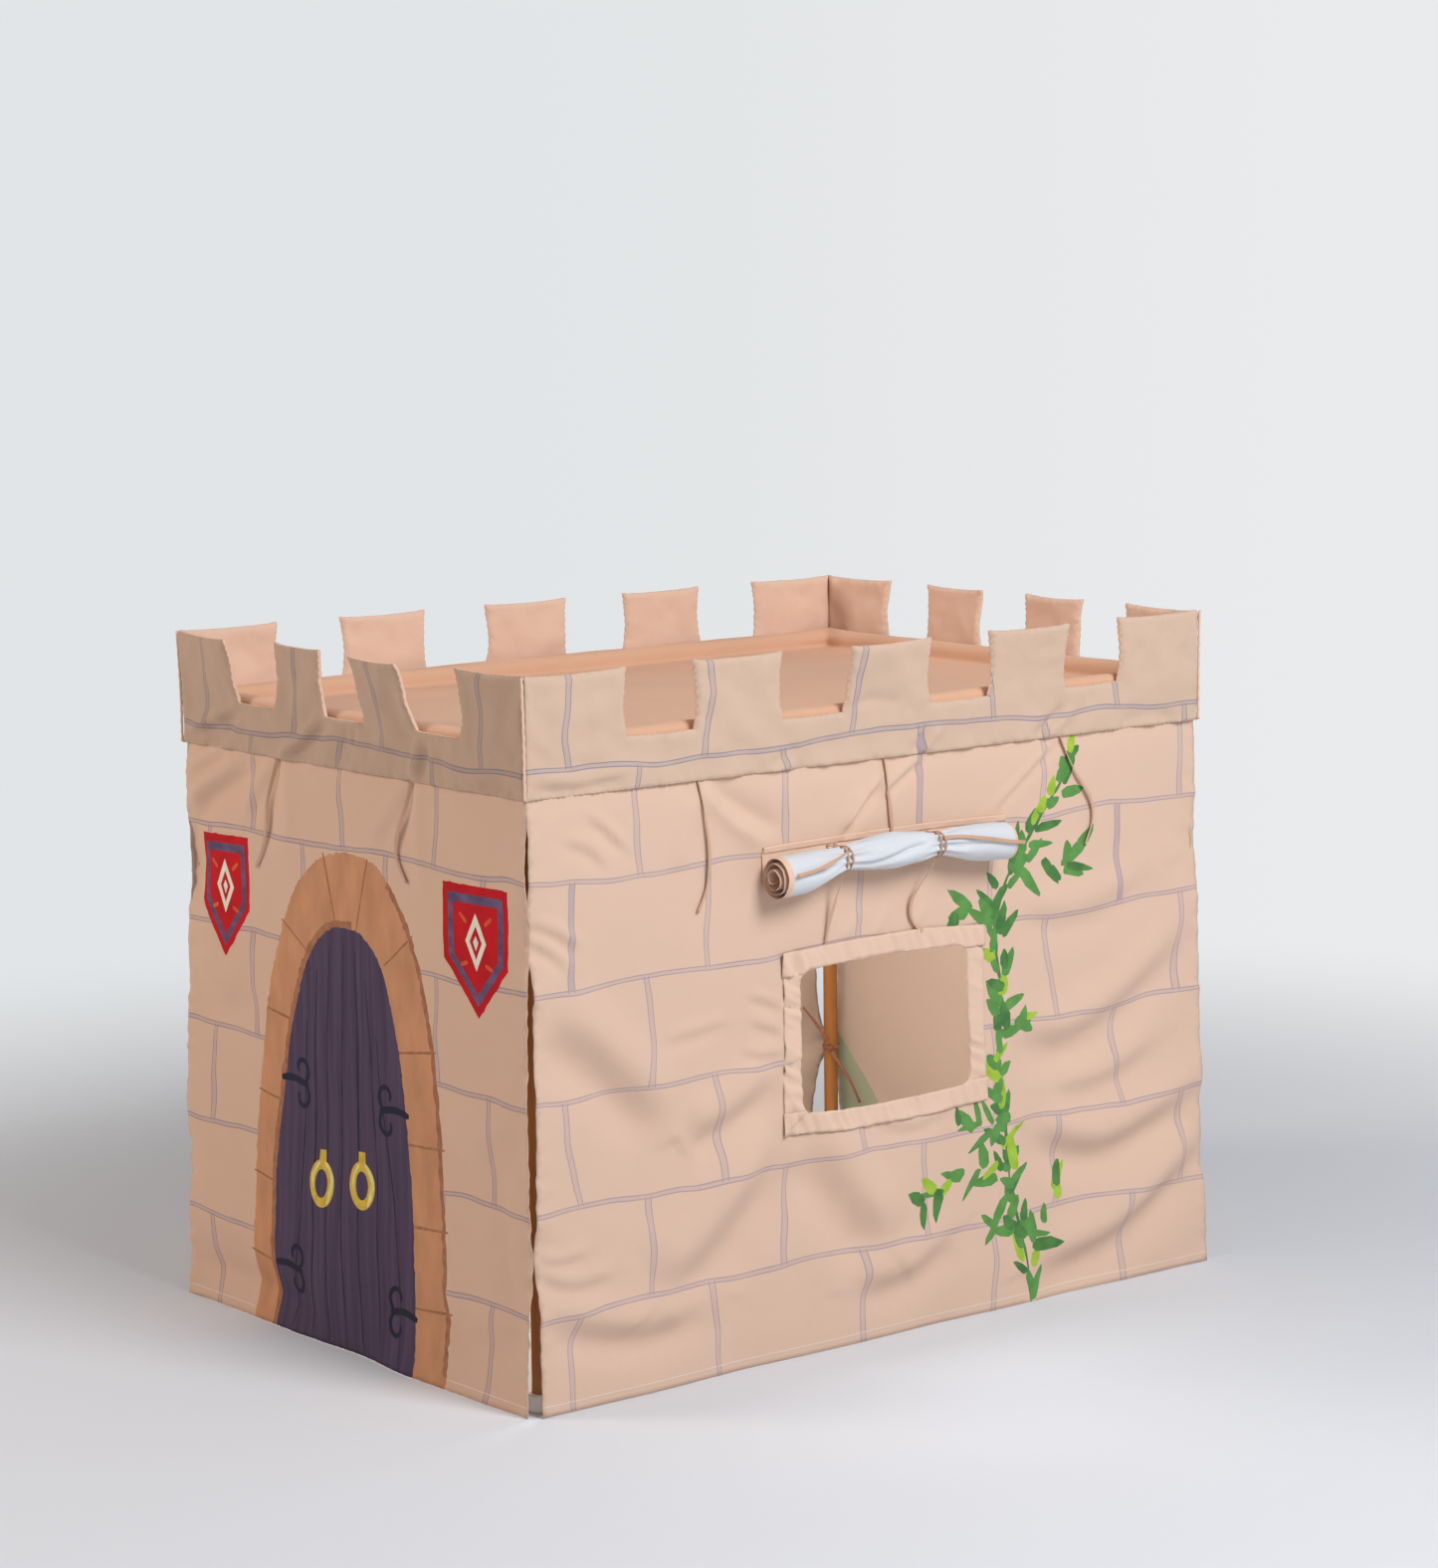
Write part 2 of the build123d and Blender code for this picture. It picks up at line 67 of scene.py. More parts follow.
frontLow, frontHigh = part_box("battlement_front")
rightLow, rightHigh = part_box("battlement_right")
poleLow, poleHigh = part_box("pole_front_left")
railLow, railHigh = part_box("rail_right")
castle = {
    "middle": (frontLow.x + frontHigh.x) / 2,
    "halfWidth": (frontHigh.x - frontLow.x) / 2,
    "halfLength": (rightHigh.y - rightLow.y) / 2,
    "seam": frontLow.z,
    "top": frontHigh.z,
    "padThickness": frontHigh.y - frontLow.y,
    "hem": 0.004,
    "poleRadius": (poleHigh.x - poleLow.x) / 2,
    "poleY": abs(poleLow.y + poleHigh.y) / 2,
    "railHeight": (railLow.z + railHigh.z) / 2,
    "ribbonWidth": 0.006,
}
castle["poleX"] = castle["middle"] - (poleLow.x + poleHigh.x) / 2
castle["wallDrop"] = castle["seam"] - castle["hem"]

# Each side: the way along it, seen from outside from left to right, the way out of it, half of its
# length, and how far it stands from the castle's middle
sides = {
    side: {"along": along, "outward": outward, "half": castle[half], "reach": castle[reach]}
    for side, along, outward, half, reach in (
        ("front", (1, 0, 0), (0, -1, 0), "halfWidth", "halfLength"),
        ("right", (0, 1, 0), (1, 0, 0), "halfLength", "halfWidth"),
        ("back", (-1, 0, 0), (0, 1, 0), "halfWidth", "halfLength"),
        ("left", (0, -1, 0), (-1, 0, 0), "halfLength", "halfWidth"),
    )
}
corners = {"front_left": (-1, -1), "front_right": (1, -1), "back_left": (-1, 1), "back_right": (1, 1)}


# Camera, at the photograph's place
cameraSet = {
    "place": (4.47476, -3.5800, 1.5294),
    "azimuth": 51.12,
    "elevation": 8.01,
    "roll": -0.67,
    "lens": 93.52,
    "sensor": 36,
    "farthest": 60,
}


def addCamera():
    azimuth, elevation, roll = (math.radians(cameraSet[name]) for name in ("azimuth", "elevation", "roll"))
    level = math.cos(elevation)
    back = Vector((math.sin(azimuth) * level, -math.cos(azimuth) * level, math.sin(elevation)))
    levelRight = Vector((0, 0, 1)).cross(back).normalized()
    levelUp = back.cross(levelRight)
    right = math.cos(roll) * levelRight + math.sin(roll) * levelUp
    up = math.cos(roll) * levelUp - math.sin(roll) * levelRight
    turn = Matrix((right, up, back)).transposed().to_euler()
    bpy.ops.object.camera_add(location=cameraSet["place"], rotation=turn)
    camera = bpy.context.object
    camera.data.lens = cameraSet["lens"]
    camera.data.sensor_width = cameraSet["sensor"]
    camera.data.clip_end = cameraSet["farthest"]
    bpy.context.scene.camera = camera


addCamera()
bpy.context.scene.view_settings.view_transform = "Standard"
print("castle: camera placed")


# Small tools
def deselectAll():
    bpy.ops.object.select_all(action="DESELECT")


def takeUp(pieces):
    deselectAll()
    for piece in pieces:
        piece.select_set(True)
    bpy.context.view_layer.objects.active = pieces[0]


def joinPieces(pieces):  # one mesh of several, and the first one's object keeps it
    takeUp(pieces)
    bpy.ops.object.join()
    return pieces[0]


def applyModifiers(piece):
    takeUp([piece])
    for modifier in list(piece.modifiers):
        bpy.ops.object.modifier_apply(modifier=modifier.name)


def newPiece(name, points, faces, finishes, flat=None, faceFinish=None):
    mesh = bpy.data.meshes.new(name)
    mesh.from_pydata([tuple(point) for point in points], [], [tuple(face) for face in faces])
    for finish in finishes:
        mesh.materials.append(finish)
    if faceFinish is not None:
        mesh.polygons.foreach_set("material_index", np.array(faceFinish, dtype=np.int32))
    if flat is not None:
        layer = mesh.uv_layers.new(name="cloth")
        corner = np.zeros(len(mesh.loops), dtype=np.int32)
        mesh.loops.foreach_get("vertex_index", corner)
        layer.data.foreach_set("uv", np.asarray(flat, dtype=np.float32)[corner].ravel())
    mesh.shade_smooth()
    mesh.update()
    piece = bpy.data.objects.new(name, mesh)
    bpy.context.collection.objects.link(piece)
    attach(piece, body)
    return piece


def giveThickness(piece, thickness, innerOffset=0, smooth=False):
    shell = piece.modifiers.new("thickness", "SOLIDIFY")
    shell.thickness = thickness
    shell.offset = -1
    shell.material_offset = innerOffset
    shell.material_offset_rim = innerOffset
    if smooth:
        rounder = piece.modifiers.new("smooth", "SUBSURF")
        rounder.levels = rounder.render_levels = 1
    applyModifiers(piece)


def gridFaces(rows, columns, first=0, closed=False, flip=False):  # quads over points laid row after row
    faces = []
    for row in range(rows - 1):
        for column in range(columns if closed else columns - 1):
            low, beside = (first + row * columns + place for place in (column, (column + 1) % columns))
            quad = (low, beside, beside + columns, low + columns)
            faces.append((quad[0], quad[3], quad[2], quad[1]) if flip else quad)
    return faces


def spots(*numbers):  # points, from their millimetres in a row
    return tuple(tuple(point) for point in (np.reshape(numbers, (-1, 2)) / 1000).tolist())


def bentLine(points, steps=14):  # smooth line through a few points, rounded at the middle ones
    points = [np.array(point, dtype=float) for point in points]
    line = []
    for index in range(len(points) - 1):
        before = points[max(index - 1, 0)]
        start, end = points[index], points[index + 1]
        after = points[min(index + 2, len(points) - 1)]
        for step in range(steps):
            t = step / steps
            line.append(
                0.5 * (2 * start + (end - before) * t + (2 * before - 5 * start + 4 * end - after) * t * t
                       + (3 * start - before - 3 * end + after) * t ** 3)
            )
    line.append(points[-1])
    return np.array(line)


def evenly(outline, spacing):  # a closed outline with no two points further apart than spacing
    ring = []
    for start, end in zip(outline, list(outline[1:]) + [outline[0]]):
        count = max(1, math.ceil(math.dist(start, end) / spacing))
        for step in range(count):
            t = step / count
            ring.append((start[0] + (end[0] - start[0]) * t, start[1] + (end[1] - start[1]) * t))
    return ring


def turnsLeft(outline):
    area = sum(a[0] * b[1] - b[0] * a[1] for a, b in zip(outline, list(outline[1:]) + [outline[0]]))
    return outline if area > 0 else list(outline)[::-1]


def isInside(points, outline):  # which of the points lie in a closed outline
    points, ring = np.asarray(points), np.asarray(outline)
    x, y = points[:, 0][:, None], points[:, 1][:, None]
    x1, y1 = ring[:, 0], ring[:, 1]
    x2, y2 = np.roll(x1, -1), np.roll(y1, -1)
    crosses = (y1 > y) != (y2 > y)
    with np.errstate(divide="ignore", invalid="ignore"):
        at = (x2 - x1) * (y - y1) / (y2 - y1) + x1
    return (crosses & (x < at)).sum(1) % 2 == 1


# Cuts an outline into even triangles. Prints are outlines with a finish number, later ones on top
clothCut = {"rowHeight": 0.866, "fromEdges": 0.55, "tolerance": 1e-7}


def cutCloth(outline, spacing, prints=(), holes=(), extra=()):
    points, rings = [], []
    for shape in [outline] + [printed[0] for printed in prints] + list(holes):
        ring = evenly(turnsLeft(shape), spacing)
        rings.append(list(range(len(points), len(points) + len(ring))))
        points += ring
    points += [tuple(point) for point in extra]
    tree = kdtree.KDTree(len(points))
    for index, point in enumerate(points):
        tree.insert((point[0], point[1], 0), index)
    tree.balance()
    edge = np.array(points)[np.array(rings[0])]
    low, high = edge.min(0), edge.max(0)
    grid = []
    for row in range(int((high[1] - low[1]) / (spacing * clothCut["rowHeight"])) + 1):
        y = low[1] + row * spacing * clothCut["rowHeight"]
        shift = spacing / 2 if row % 2 else 0
        for column in range(int((high[0] - low[0]) / spacing) + 1):
            grid.append((low[0] + shift + column * spacing, y))
    clear = clothCut["fromEdges"] * spacing
    kept = [point for point, inside in zip(grid, isInside(grid, edge)) if inside]
    points += [point for point in kept if tree.find((point[0], point[1], 0))[2] > clear]
    cut = delaunay_2d_cdt([Vector(point) for point in points], [], rings, 1, clothCut["tolerance"], True)
    corner, faces, origins = cut[0], cut[2], cut[5]  # origins: which outlines a triangle lies in
    firstHole = len(prints) + 1
    triangles, finishes = [], []
    for face, inside in zip(faces, origins):
        if 0 not in inside or any(index >= firstHole for index in inside):
            continue
        top = max(inside)
        triangles.append(face)
        finishes.append(prints[top - 1][1] if top > 0 else 0)
    used = sorted({index for face in triangles for index in face})
    place = {index: new for new, index in enumerate(used)}
    flat = np.array([corner[index][:] for index in used])
    return flat, [[place[index] for index in face] for face in triangles], finishes


def stirred(flat, size, amount, seed):  # soft random swell over the flat cloth
    values = [noise.noise(Vector((x / size, y / size, seed))) for x, y in flat]
    return amount * np.array(values)


# Folds. Each row, in millimetres: the points of a bent line along and up the cloth, half width, and the rise
# in tenths of a millimetre, below 0 for a groove. A "tilt" stands out on the left of its line and sinks on
# the right, so a line drawn from left to right has its underside in shade
foldStrength = {"front": 2.0, "right": 3.1, "back": 1.9, "left": 1.9}
foldShape = {"near": 3, "fadeShare": 0.3, "atEnds": 0.15, "tilt": 1.65, "blunt": 1.5}


def foldLift(flat, folds):
    shape = foldShape
    lift = np.zeros(len(flat))
    for row in folds:
        tilted = row[-1] == "tilt"
        *route, width, rise = row[:-1] if tilted else row
        width, rise = width / 1000, rise / 10000
        line = bentLine(spots(*route), 8)
        margin = shape["near"] * width
        near = np.all((flat > line.min(0) - margin) & (flat < line.max(0) + margin), axis=1)
        if not near.any():
            continue
        spot = flat[near]
        start, run = line[:-1], line[1:] - line[:-1]
        t = ((spot[:, None] - start) * run).sum(2) / np.maximum((run ** 2).sum(1), 1e-12)
        t = np.clip(t, 0, 1)
        gap = np.linalg.norm(spot[:, None] - (start + t[..., None] * run), axis=2)
        best = gap.argmin(1)
        rows = np.arange(len(spot))
        travel = (best + t[rows, best]) / len(run)
        fade = np.clip(np.minimum(travel, 1 - travel) / shape["fadeShare"], 0, 1)
        fade = shape["atEnds"] + (1 - shape["atEnds"]) * fade * fade * (3 - 2 * fade)
        offset = gap[rows, best] / width
        if tilted:
            toSpot = spot - start[best]
            leftward = np.sign(run[best, 0] * toSpot[:, 1] - run[best, 1] * toSpot[:, 0])
            lift[near] += rise * fade * shape["tilt"] * leftward * offset * np.exp(-(offset ** 2))
        else:
            lift[near] += rise * fade * np.exp(-(offset ** shape["blunt"]))
    return lift


def toWorld(side, flat, out):  # flat has how far along the side and how high
    face = sides[side]
    along, outward = np.array(face["along"], dtype=float), np.array(face["outward"], dtype=float)
    flat = np.asarray(flat)
    out = np.broadcast_to(out, len(flat))
    return (
        np.array((castle["middle"], 0, 0)) + flat[:, :1] * along
        + (face["reach"] + out)[:, None] * outward + flat[:, 1:2] * np.array((0, 0, 1.0))
    )


# Finishes
colours = {
    "stoneCloth": (0.755, 0.530, 0.405),
    # painted shade: the short walls take a darker, warmer copy of the long walls' stone cloth, for the dimmer
    # light on them
    "stoneClothEndsShaded": (0.735, 0.475, 0.335),
    "stonePad": (0.620, 0.445, 0.335),
    # painted shade: the short battlements take a darker copy of the pad cloth, for the shade on their
    # outward-leaning merlons
    "stonePadEndsShaded": (0.500, 0.330, 0.232),
    "plainCloth": (0.800, 0.545, 0.415),
    "roofCloth": (0.800, 0.470, 0.310),
    "wallLining": (0.670, 0.510, 0.395),
    "printLine": (0.560, 0.620, 0.920),
    "printLineDark": (0.420, 0.520, 0.900),
    "lining": (0.67, 0.69, 0.73),
    # partly painted shade: the ribbons' own peach, darkened below the wall cloth to stand in for the shadows
    # along them
    "ribbon": (0.640, 0.390, 0.270),
    # painted shade: the corner ties are the peach ribbon darkened to brown, for the shade they hang in inside
    # the castle
    "tie": (0.360, 0.155, 0.095),
    "stitch": (0.85, 0.80, 0.74),
    "arch": (0.480, 0.224, 0.114),
    "archDark": (0.300, 0.120, 0.060),
    "plank": (0.060, 0.036, 0.070),
    "plankDark": (0.018, 0.014, 0.030),
    "plankLight": (0.095, 0.062, 0.105),
    "iron": (0.012, 0.014, 0.028),
    "gold": (0.530, 0.350, 0.050),
    "goldLight": (0.800, 0.720, 0.270),
    "crest": (0.440, 0.004, 0.008),
    "crestBand": (0.092, 0.056, 0.108),
    "crestCream": (0.800, 0.740, 0.590),
    "crestOrange": (0.640, 0.120, 0.035),
    "leaf": (0.090, 0.235, 0.058),
    "leafDark": (0.055, 0.160, 0.050),
    "leafLime": (0.370, 0.550, 0.055),
    "leafInside": (0.430, 0.460, 0.300),
    "pine": (0.480, 0.192, 0.038),
    "pineDark": (0.310, 0.104, 0.020),
    "plastic": (0.780, 0.780, 0.770),
    "backdrop": (0.760, 0.780, 0.795),
    # painted light: the backdrop's colour toward the window side, where the key light stands
    "backdropPaintedLight": (0.825, 0.830, 0.840),
    "floor": (0.695, 0.710, 0.750),
}

weave = {"thread": 0.0009, "depth": 0.00008, "wander": 0.4, "crumple": 26, "crumpleDepth": 0.0011}
clothSurface = {"roughness": 0.86, "sheen": 0.12, "specular": 0.2}


def startFinish(name):
    material = bpy.data.materials.new(name)
    material.use_nodes = True
    tree = material.node_tree
    return material, tree.nodes, tree.links, tree.nodes["Principled BSDF"]


def addNode(nodes, kind, **values):
    node = nodes.new(kind)
    for name, value in values.items():
        setattr(node, name, value)
    return node


def feed(links, sockets, values):  # each socket takes another's output, a colour or a plain value
    for socket, value in zip(sockets, values):
        if isinstance(value, bpy.types.NodeSocket):
            links.new(value, socket)
        elif isinstance(value, tuple):
            socket.default_value = (*value, 1) if socket.type == "RGBA" else value
        elif value is not None:
            socket.default_value = value


def mixColours(nodes, links, amount, first, second, blend="MIX"):
    mix = addNode(nodes, "ShaderNodeMix", data_type="RGBA", blend_type=blend)
    feed(links, (mix.inputs[0], mix.inputs[6], mix.inputs[7]), (amount, first, second))
    return mix.outputs[2]


def mixShaders(nodes, links, amount, first, second, target):
    mix = nodes.new("ShaderNodeMixShader")
    feed(links, mix.inputs, (amount, first, second))
    links.new(mix.outputs[0], target)


def doMath(nodes, links, operation, first, second=None, third=None):
    node = addNode(nodes, "ShaderNodeMath", operation=operation)
    feed(links, node.inputs, (first, second, third))
    return node.outputs[0]


def doVectorMath(nodes, links, operation, first, second=None):
    node = addNode(nodes, "ShaderNodeVectorMath", operation=operation)
    feed(links, node.inputs, (first, second))
    return node.outputs["Value" if operation in ("DOT_PRODUCT", "LENGTH") else "Vector"]


def mapRange(nodes, links, value, start, stop, low=0.0, high=1.0, kind="LINEAR"):
    node = addNode(nodes, "ShaderNodeMapRange", interpolation_type=kind)
    feed(links, node.inputs, (value, start, stop, low, high))
    return node.outputs[0]


def addNoise(nodes, links, place, scale, detail=2.0, stretch=(1, 1, 1)):
    mapping = addNode(nodes, "ShaderNodeMapping")
    feed(links, (mapping.inputs["Scale"], mapping.inputs["Vector"]), (stretch, place))
    node = addNode(nodes, "ShaderNodeTexNoise")
    feed(
        links, [node.inputs[name] for name in ("Scale", "Detail", "Vector")],
        (scale, detail, mapping.outputs[0]),
    )
    return node


def addBump(nodes, links, height, distance, under=None):
    bump = addNode(nodes, "ShaderNodeBump")
    feed(links, [bump.inputs[name] for name in ("Distance", "Height", "Normal")], (distance, height, under))
    return bump.outputs["Normal"]


def setSurface(shader, roughness, sheen=0.0, specular=0.2):
    shader.inputs["Roughness"].default_value = roughness
    shader.inputs["Sheen Weight"].default_value = sheen
    shader.inputs["Specular IOR Level"].default_value = specular


def clothRelief(nodes, links, shader, crumple=1.0):  # woven threads over a soft crumple
    onCloth = addNode(nodes, "ShaderNodeUVMap", uv_map="cloth").outputs[0]
    threads = []
    for direction in ("X", "Y"):
        wave = addNode(nodes, "ShaderNodeTexWave", bands_direction=direction)
        wave.inputs["Scale"].default_value = 2 * math.pi / (20 * weave["thread"])
        wave.inputs["Distortion"].default_value = weave["wander"]
        links.new(onCloth, wave.inputs["Vector"])
        threads.append(wave.outputs["Fac"])
    woven = doMath(nodes, links, "ADD", *threads)
    inSpace = addNode(nodes, "ShaderNodeTexCoord").outputs["Object"]
    soft = addNoise(nodes, links, inSpace, weave["crumple"], 3.0)
    crumpled = addBump(nodes, links, soft.outputs["Fac"], weave["crumpleDepth"] * crumple)
    links.new(addBump(nodes, links, woven, weave["depth"], crumpled), shader.inputs["Normal"])
    return onCloth, inSpace


def letLightThrough(nodes, links, shader, share):  # thin cloth glows a little with the light behind it
    thin = nodes.new("ShaderNodeBsdfTranslucent")
    links.new(shader.inputs["Base Color"].links[0].from_socket, thin.inputs["Color"])
    surface = nodes["Material Output"].inputs["Surface"]
    mixShaders(nodes, links, share, shader.outputs[0], thin.outputs[0], surface)


def finishCloth(name, colour, shade=0.90, crumple=1.0, roughness=0.86, sheen=0.12, thin=0.0):
    material, nodes, links, shader = startFinish(name)
    inSpace = clothRelief(nodes, links, shader, crumple)[1]
    darker = tuple(value * shade for value in colour)
    cloud = addNoise(nodes, links, inSpace, 5.0, 3.0)
    links.new(mixColours(nodes, links, cloud.outputs["Fac"], colour, darker), shader.inputs["Base Color"])
    setSurface(shader, roughness, sheen, clothSurface["specular"])
    if thin:
        letLightThrough(nodes, links, shader, thin)
    return material


# The printed stones: heights of the courses and places of the joints along the cloth, in metres
stonePrint = {
    "courses": (0.131, 0.262, 0.407, 0.552, 0.692, 0.832),
    "right": {
        "even": (-0.533, -0.300, -0.050, 0.190, 0.438),
        "odd": (-0.413, -0.175, 0.066, 0.307, 0.551),
    },
    "front": {
        "even": (-0.338, -0.116, 0.090, 0.320),
        "odd": (-0.229, -0.013, 0.204),
    },
    "wide": {"right": ((0.066, 0.762, 0.060), (-0.533, 0.622, 0.068), (0.438, 0.622, 0.068)), "front": ()},
    "wideHalf": 0.0055, "wideShade": 0.62,
    "lineHalf": 0.00075, "lineSoftness": 0.3,
    "courseHalfGap": 0.0027,
    "jointHalfGap": 0.0042,
    "fill": 0.30,
    "strength": 0.95, "patchiness": 0.3,
    "wander": 0.072,
    "threadHeight": 0.0160, "threadHalf": 0.00045, "threadStep": 0.0042, "threadShare": 0.62,
}


def nearestPlace(nodes, links, value, places):  # how far the value is from the nearest of the places
    nearest = None
    for place in places:
        gap = doMath(nodes, links, "ABSOLUTE", doMath(nodes, links, "SUBTRACT", value, place))
        nearest = gap if nearest is None else doMath(nodes, links, "MINIMUM", nearest, gap)
    return nearest


def linePair(nodes, links, value, places, halfGap):  # two thin lines and a faint fill between them
    nearest = nearestPlace(nodes, links, value, places)
    fromLine = nearestPlace(nodes, links, nearest, (halfGap,))
    half, soft = stonePrint["lineHalf"], stonePrint["lineSoftness"]
    edge = mapRange(nodes, links, fromLine, half * (1 + soft), half * (1 - soft))
    inside = doMath(nodes, links, "LESS_THAN", nearest, halfGap)
    return doMath(nodes, links, "MAXIMUM", edge, doMath(nodes, links, "MULTIPLY", inside, stonePrint["fill"]))


def driftedPlace(nodes, links, onCloth, seed):  # hand-drawn lines wander a little
    drift = addNoise(nodes, links, onCloth, 4.5 + seed, 2.0)
    wander = (stonePrint["wander"], 0.5 * stonePrint["wander"], 0)
    centred = doVectorMath(nodes, links, "SUBTRACT", drift.outputs["Color"], (0.5, 0.5, 0.5))
    scaled = doVectorMath(nodes, links, "MULTIPLY", centred, wander)
    split = addNode(nodes, "ShaderNodeSeparateXYZ")
    links.new(doVectorMath(nodes, links, "ADD", onCloth, scaled), split.inputs[0])
    return split.outputs[0], split.outputs[1]


def finishStones(name, pattern, colour, seed, line, thin=0.0):
    material, nodes, links, shader = startFinish(name)
    stones = stonePrint
    joints, jointGap = stones[pattern], stones["jointHalfGap"]

    def reckon(operation, *values):
        return doMath(nodes, links, operation, *values)

    onCloth, inSpace = clothRelief(nodes, links, shader)
    along, height = driftedPlace(nodes, links, onCloth, seed)
    courses = linePair(nodes, links, height, stones["courses"], stones["courseHalfGap"])
    even, odd = (linePair(nodes, links, along, joints[kind], jointGap) for kind in ("even", "odd"))
    below = None
    for course in stones["courses"]:  # every second course takes the odd joints
        over = reckon("GREATER_THAN", height, course)
        below = over if below is None else reckon("ADD", below, over)
    lines = reckon("MAXIMUM", courses, mixColours(nodes, links, reckon("MODULO", below, 2.0), even, odd))
    for place, middle, half in stones["wide"][pattern]:  # a few joints are one broad stripe
        inStripe = reckon("LESS_THAN", nearestPlace(nodes, links, along, (place,)), stones["wideHalf"])
        inCourse = reckon("LESS_THAN", nearestPlace(nodes, links, height, (middle,)), half)
        stripe = reckon("MULTIPLY", reckon("MULTIPLY", inStripe, inCourse), stones["wideShade"])
        lines = reckon("MAXIMUM", lines, stripe)
    patchy = addNoise(nodes, links, onCloth, 30.0, 1.0)
    faint, strong = ((1 + way * stones["patchiness"]) * stones["strength"] for way in (-1, 1))
    worn = mapRange(nodes, links, patchy.outputs["Fac"], 0.0, 1.0, faint, strong)
    cloud = addNoise(nodes, links, inSpace, 4.0, 3.0)
    ground = mixColours(nodes, links, cloud.outputs["Fac"], colour, tuple(value * 0.93 for value in colour))
    printed = mixColours(nodes, links, reckon("MULTIPLY", lines, worn), ground, colours[line], "MULTIPLY")
    flatAlong = addNode(nodes, "ShaderNodeSeparateXYZ")
    links.new(onCloth, flatAlong.inputs[0])
    step = reckon("FRACT", reckon("DIVIDE", flatAlong.outputs[0], stones["threadStep"]))
    fromThread = nearestPlace(nodes, links, flatAlong.outputs[1], (stones["threadHeight"],))
    dash = reckon("LESS_THAN", step, stones["threadShare"])
    stitched = reckon("MULTIPLY", dash, reckon("LESS_THAN", fromThread, stones["threadHalf"]))
    links.new(mixColours(nodes, links, stitched, printed, colours["stitch"]), shader.inputs["Base Color"])
    setSurface(shader, **clothSurface)
    if thin:
        letLightThrough(nodes, links, shader, thin)
    return material


def finishPaint(name, colour, second, stretch, amount):  # brush streaks on the printed cloth
    material, nodes, links, shader = startFinish(name)
    onCloth = clothRelief(nodes, links, shader)[0]
    streaks = addNoise(nodes, links, onCloth, 1.0, 4.0, stretch)
    ramp = mapRange(nodes, links, streaks.outputs["Fac"], 0.35, 0.65, 0.0, amount)
    links.new(mixColours(nodes, links, ramp, colour, second), shader.inputs["Base Color"])
    setSurface(shader, 0.84)
    return material


def finishPine(name, grain):  # grain: the axis that the wood runs along
    material, nodes, links, shader = startFinish(name)
    inSpace = addNode(nodes, "ShaderNodeTexCoord").outputs["Object"]
    stretch = tuple(0.03 if axis == grain else 1.0 for axis in range(3))
    rings = addNoise(nodes, links, inSpace, 190.0, 4.0, stretch)
    fine = addNoise(nodes, links, inSpace, 900.0, 2.0, stretch)
    centred = doMath(nodes, links, "MULTIPLY_ADD", fine.outputs["Fac"], 0.3, -0.15)
    total = doMath(nodes, links, "ADD", rings.outputs["Fac"], centred)
    links.new(
        mixColours(nodes, links, total, colours["pine"], colours["pineDark"]), shader.inputs["Base Color"],
    )
    links.new(addBump(nodes, links, fine.outputs["Fac"], 0.0002), shader.inputs["Normal"])
    shader.inputs["Roughness"].default_value = 0.5
    shader.inputs["Coat Weight"].default_value = 0.1
    return material


def finishPlastic(name):
    material, nodes, links, shader = startFinish(name)
    inSpace = addNode(nodes, "ShaderNodeTexCoord").outputs["Object"]
    pebble = addNoise(nodes, links, inSpace, 700.0, 2.0)
    cloud = addNoise(nodes, links, inSpace, 30.0, 3.0)
    duller = tuple(value * 0.88 for value in colours["plastic"])
    links.new(
        mixColours(nodes, links, cloud.outputs["Fac"], colours["plastic"], duller),
        shader.inputs["Base Color"],
    )
    links.new(addBump(nodes, links, pebble.outputs["Fac"], 0.0001), shader.inputs["Normal"])
    shader.inputs["Roughness"].default_value = 0.42
    return material


thinShare = 0.08  # how much light thin cloth lets through
stoneSide = finishStones(
    "stone print, long walls", "right", colours["stoneCloth"], 0.0, "printLine", thinShare,
)
# painted shade: the short walls' stone print is a darker, warmer copy of the same cloth
stoneEndShaded = finishStones(
    "stone print, short walls, painted shade", "front", colours["stoneClothEndsShaded"], 0.4, "printLineDark", thinShare,
)
padSide = finishStones("stone print, long battlements", "right", colours["stonePad"], 0.0, "printLineDark")
# painted shade: the short battlements' pads are a darker copy of the same pad cloth
padEndShaded = finishStones(
    "stone print, short battlements, painted shade", "front", colours["stonePadEndsShaded"], 0.4, "printLineDark",
)
stoneFinish = {"front": stoneEndShaded, "right": stoneSide, "back": stoneEndShaded, "left": stoneSide}
padFinish = {"front": padEndShaded, "right": padSide, "back": padEndShaded, "left": padSide}
plainCloth = finishCloth("plain peach cloth", colours["plainCloth"])
roofCloth = finishCloth("roof cloth", colours["roofCloth"], 0.88, thin=thinShare)
insideLeaf = finishCloth("leaf print from inside", colours["leafInside"], thin=thinShare)
insideCloth = finishCloth("wall cloth from inside", colours["wallLining"], thin=thinShare)
liningCloth = finishCloth("white blind lining", colours["lining"], 0.93, 0.6, 0.7, 0.2)
# partly painted shade: peach ribbon, darker than the wall cloth for the shadows along the ribbons
ribbonClothShaded = finishCloth("peach ribbon, darkened as painted shade", colours["ribbon"], 0.80, 0.3)
# painted shade: the corner ties and their tails take the ribbon darkened to brown
tieClothShaded = finishCloth("tie tape, darkened as painted shade", colours["tie"], 0.75, 0.3)

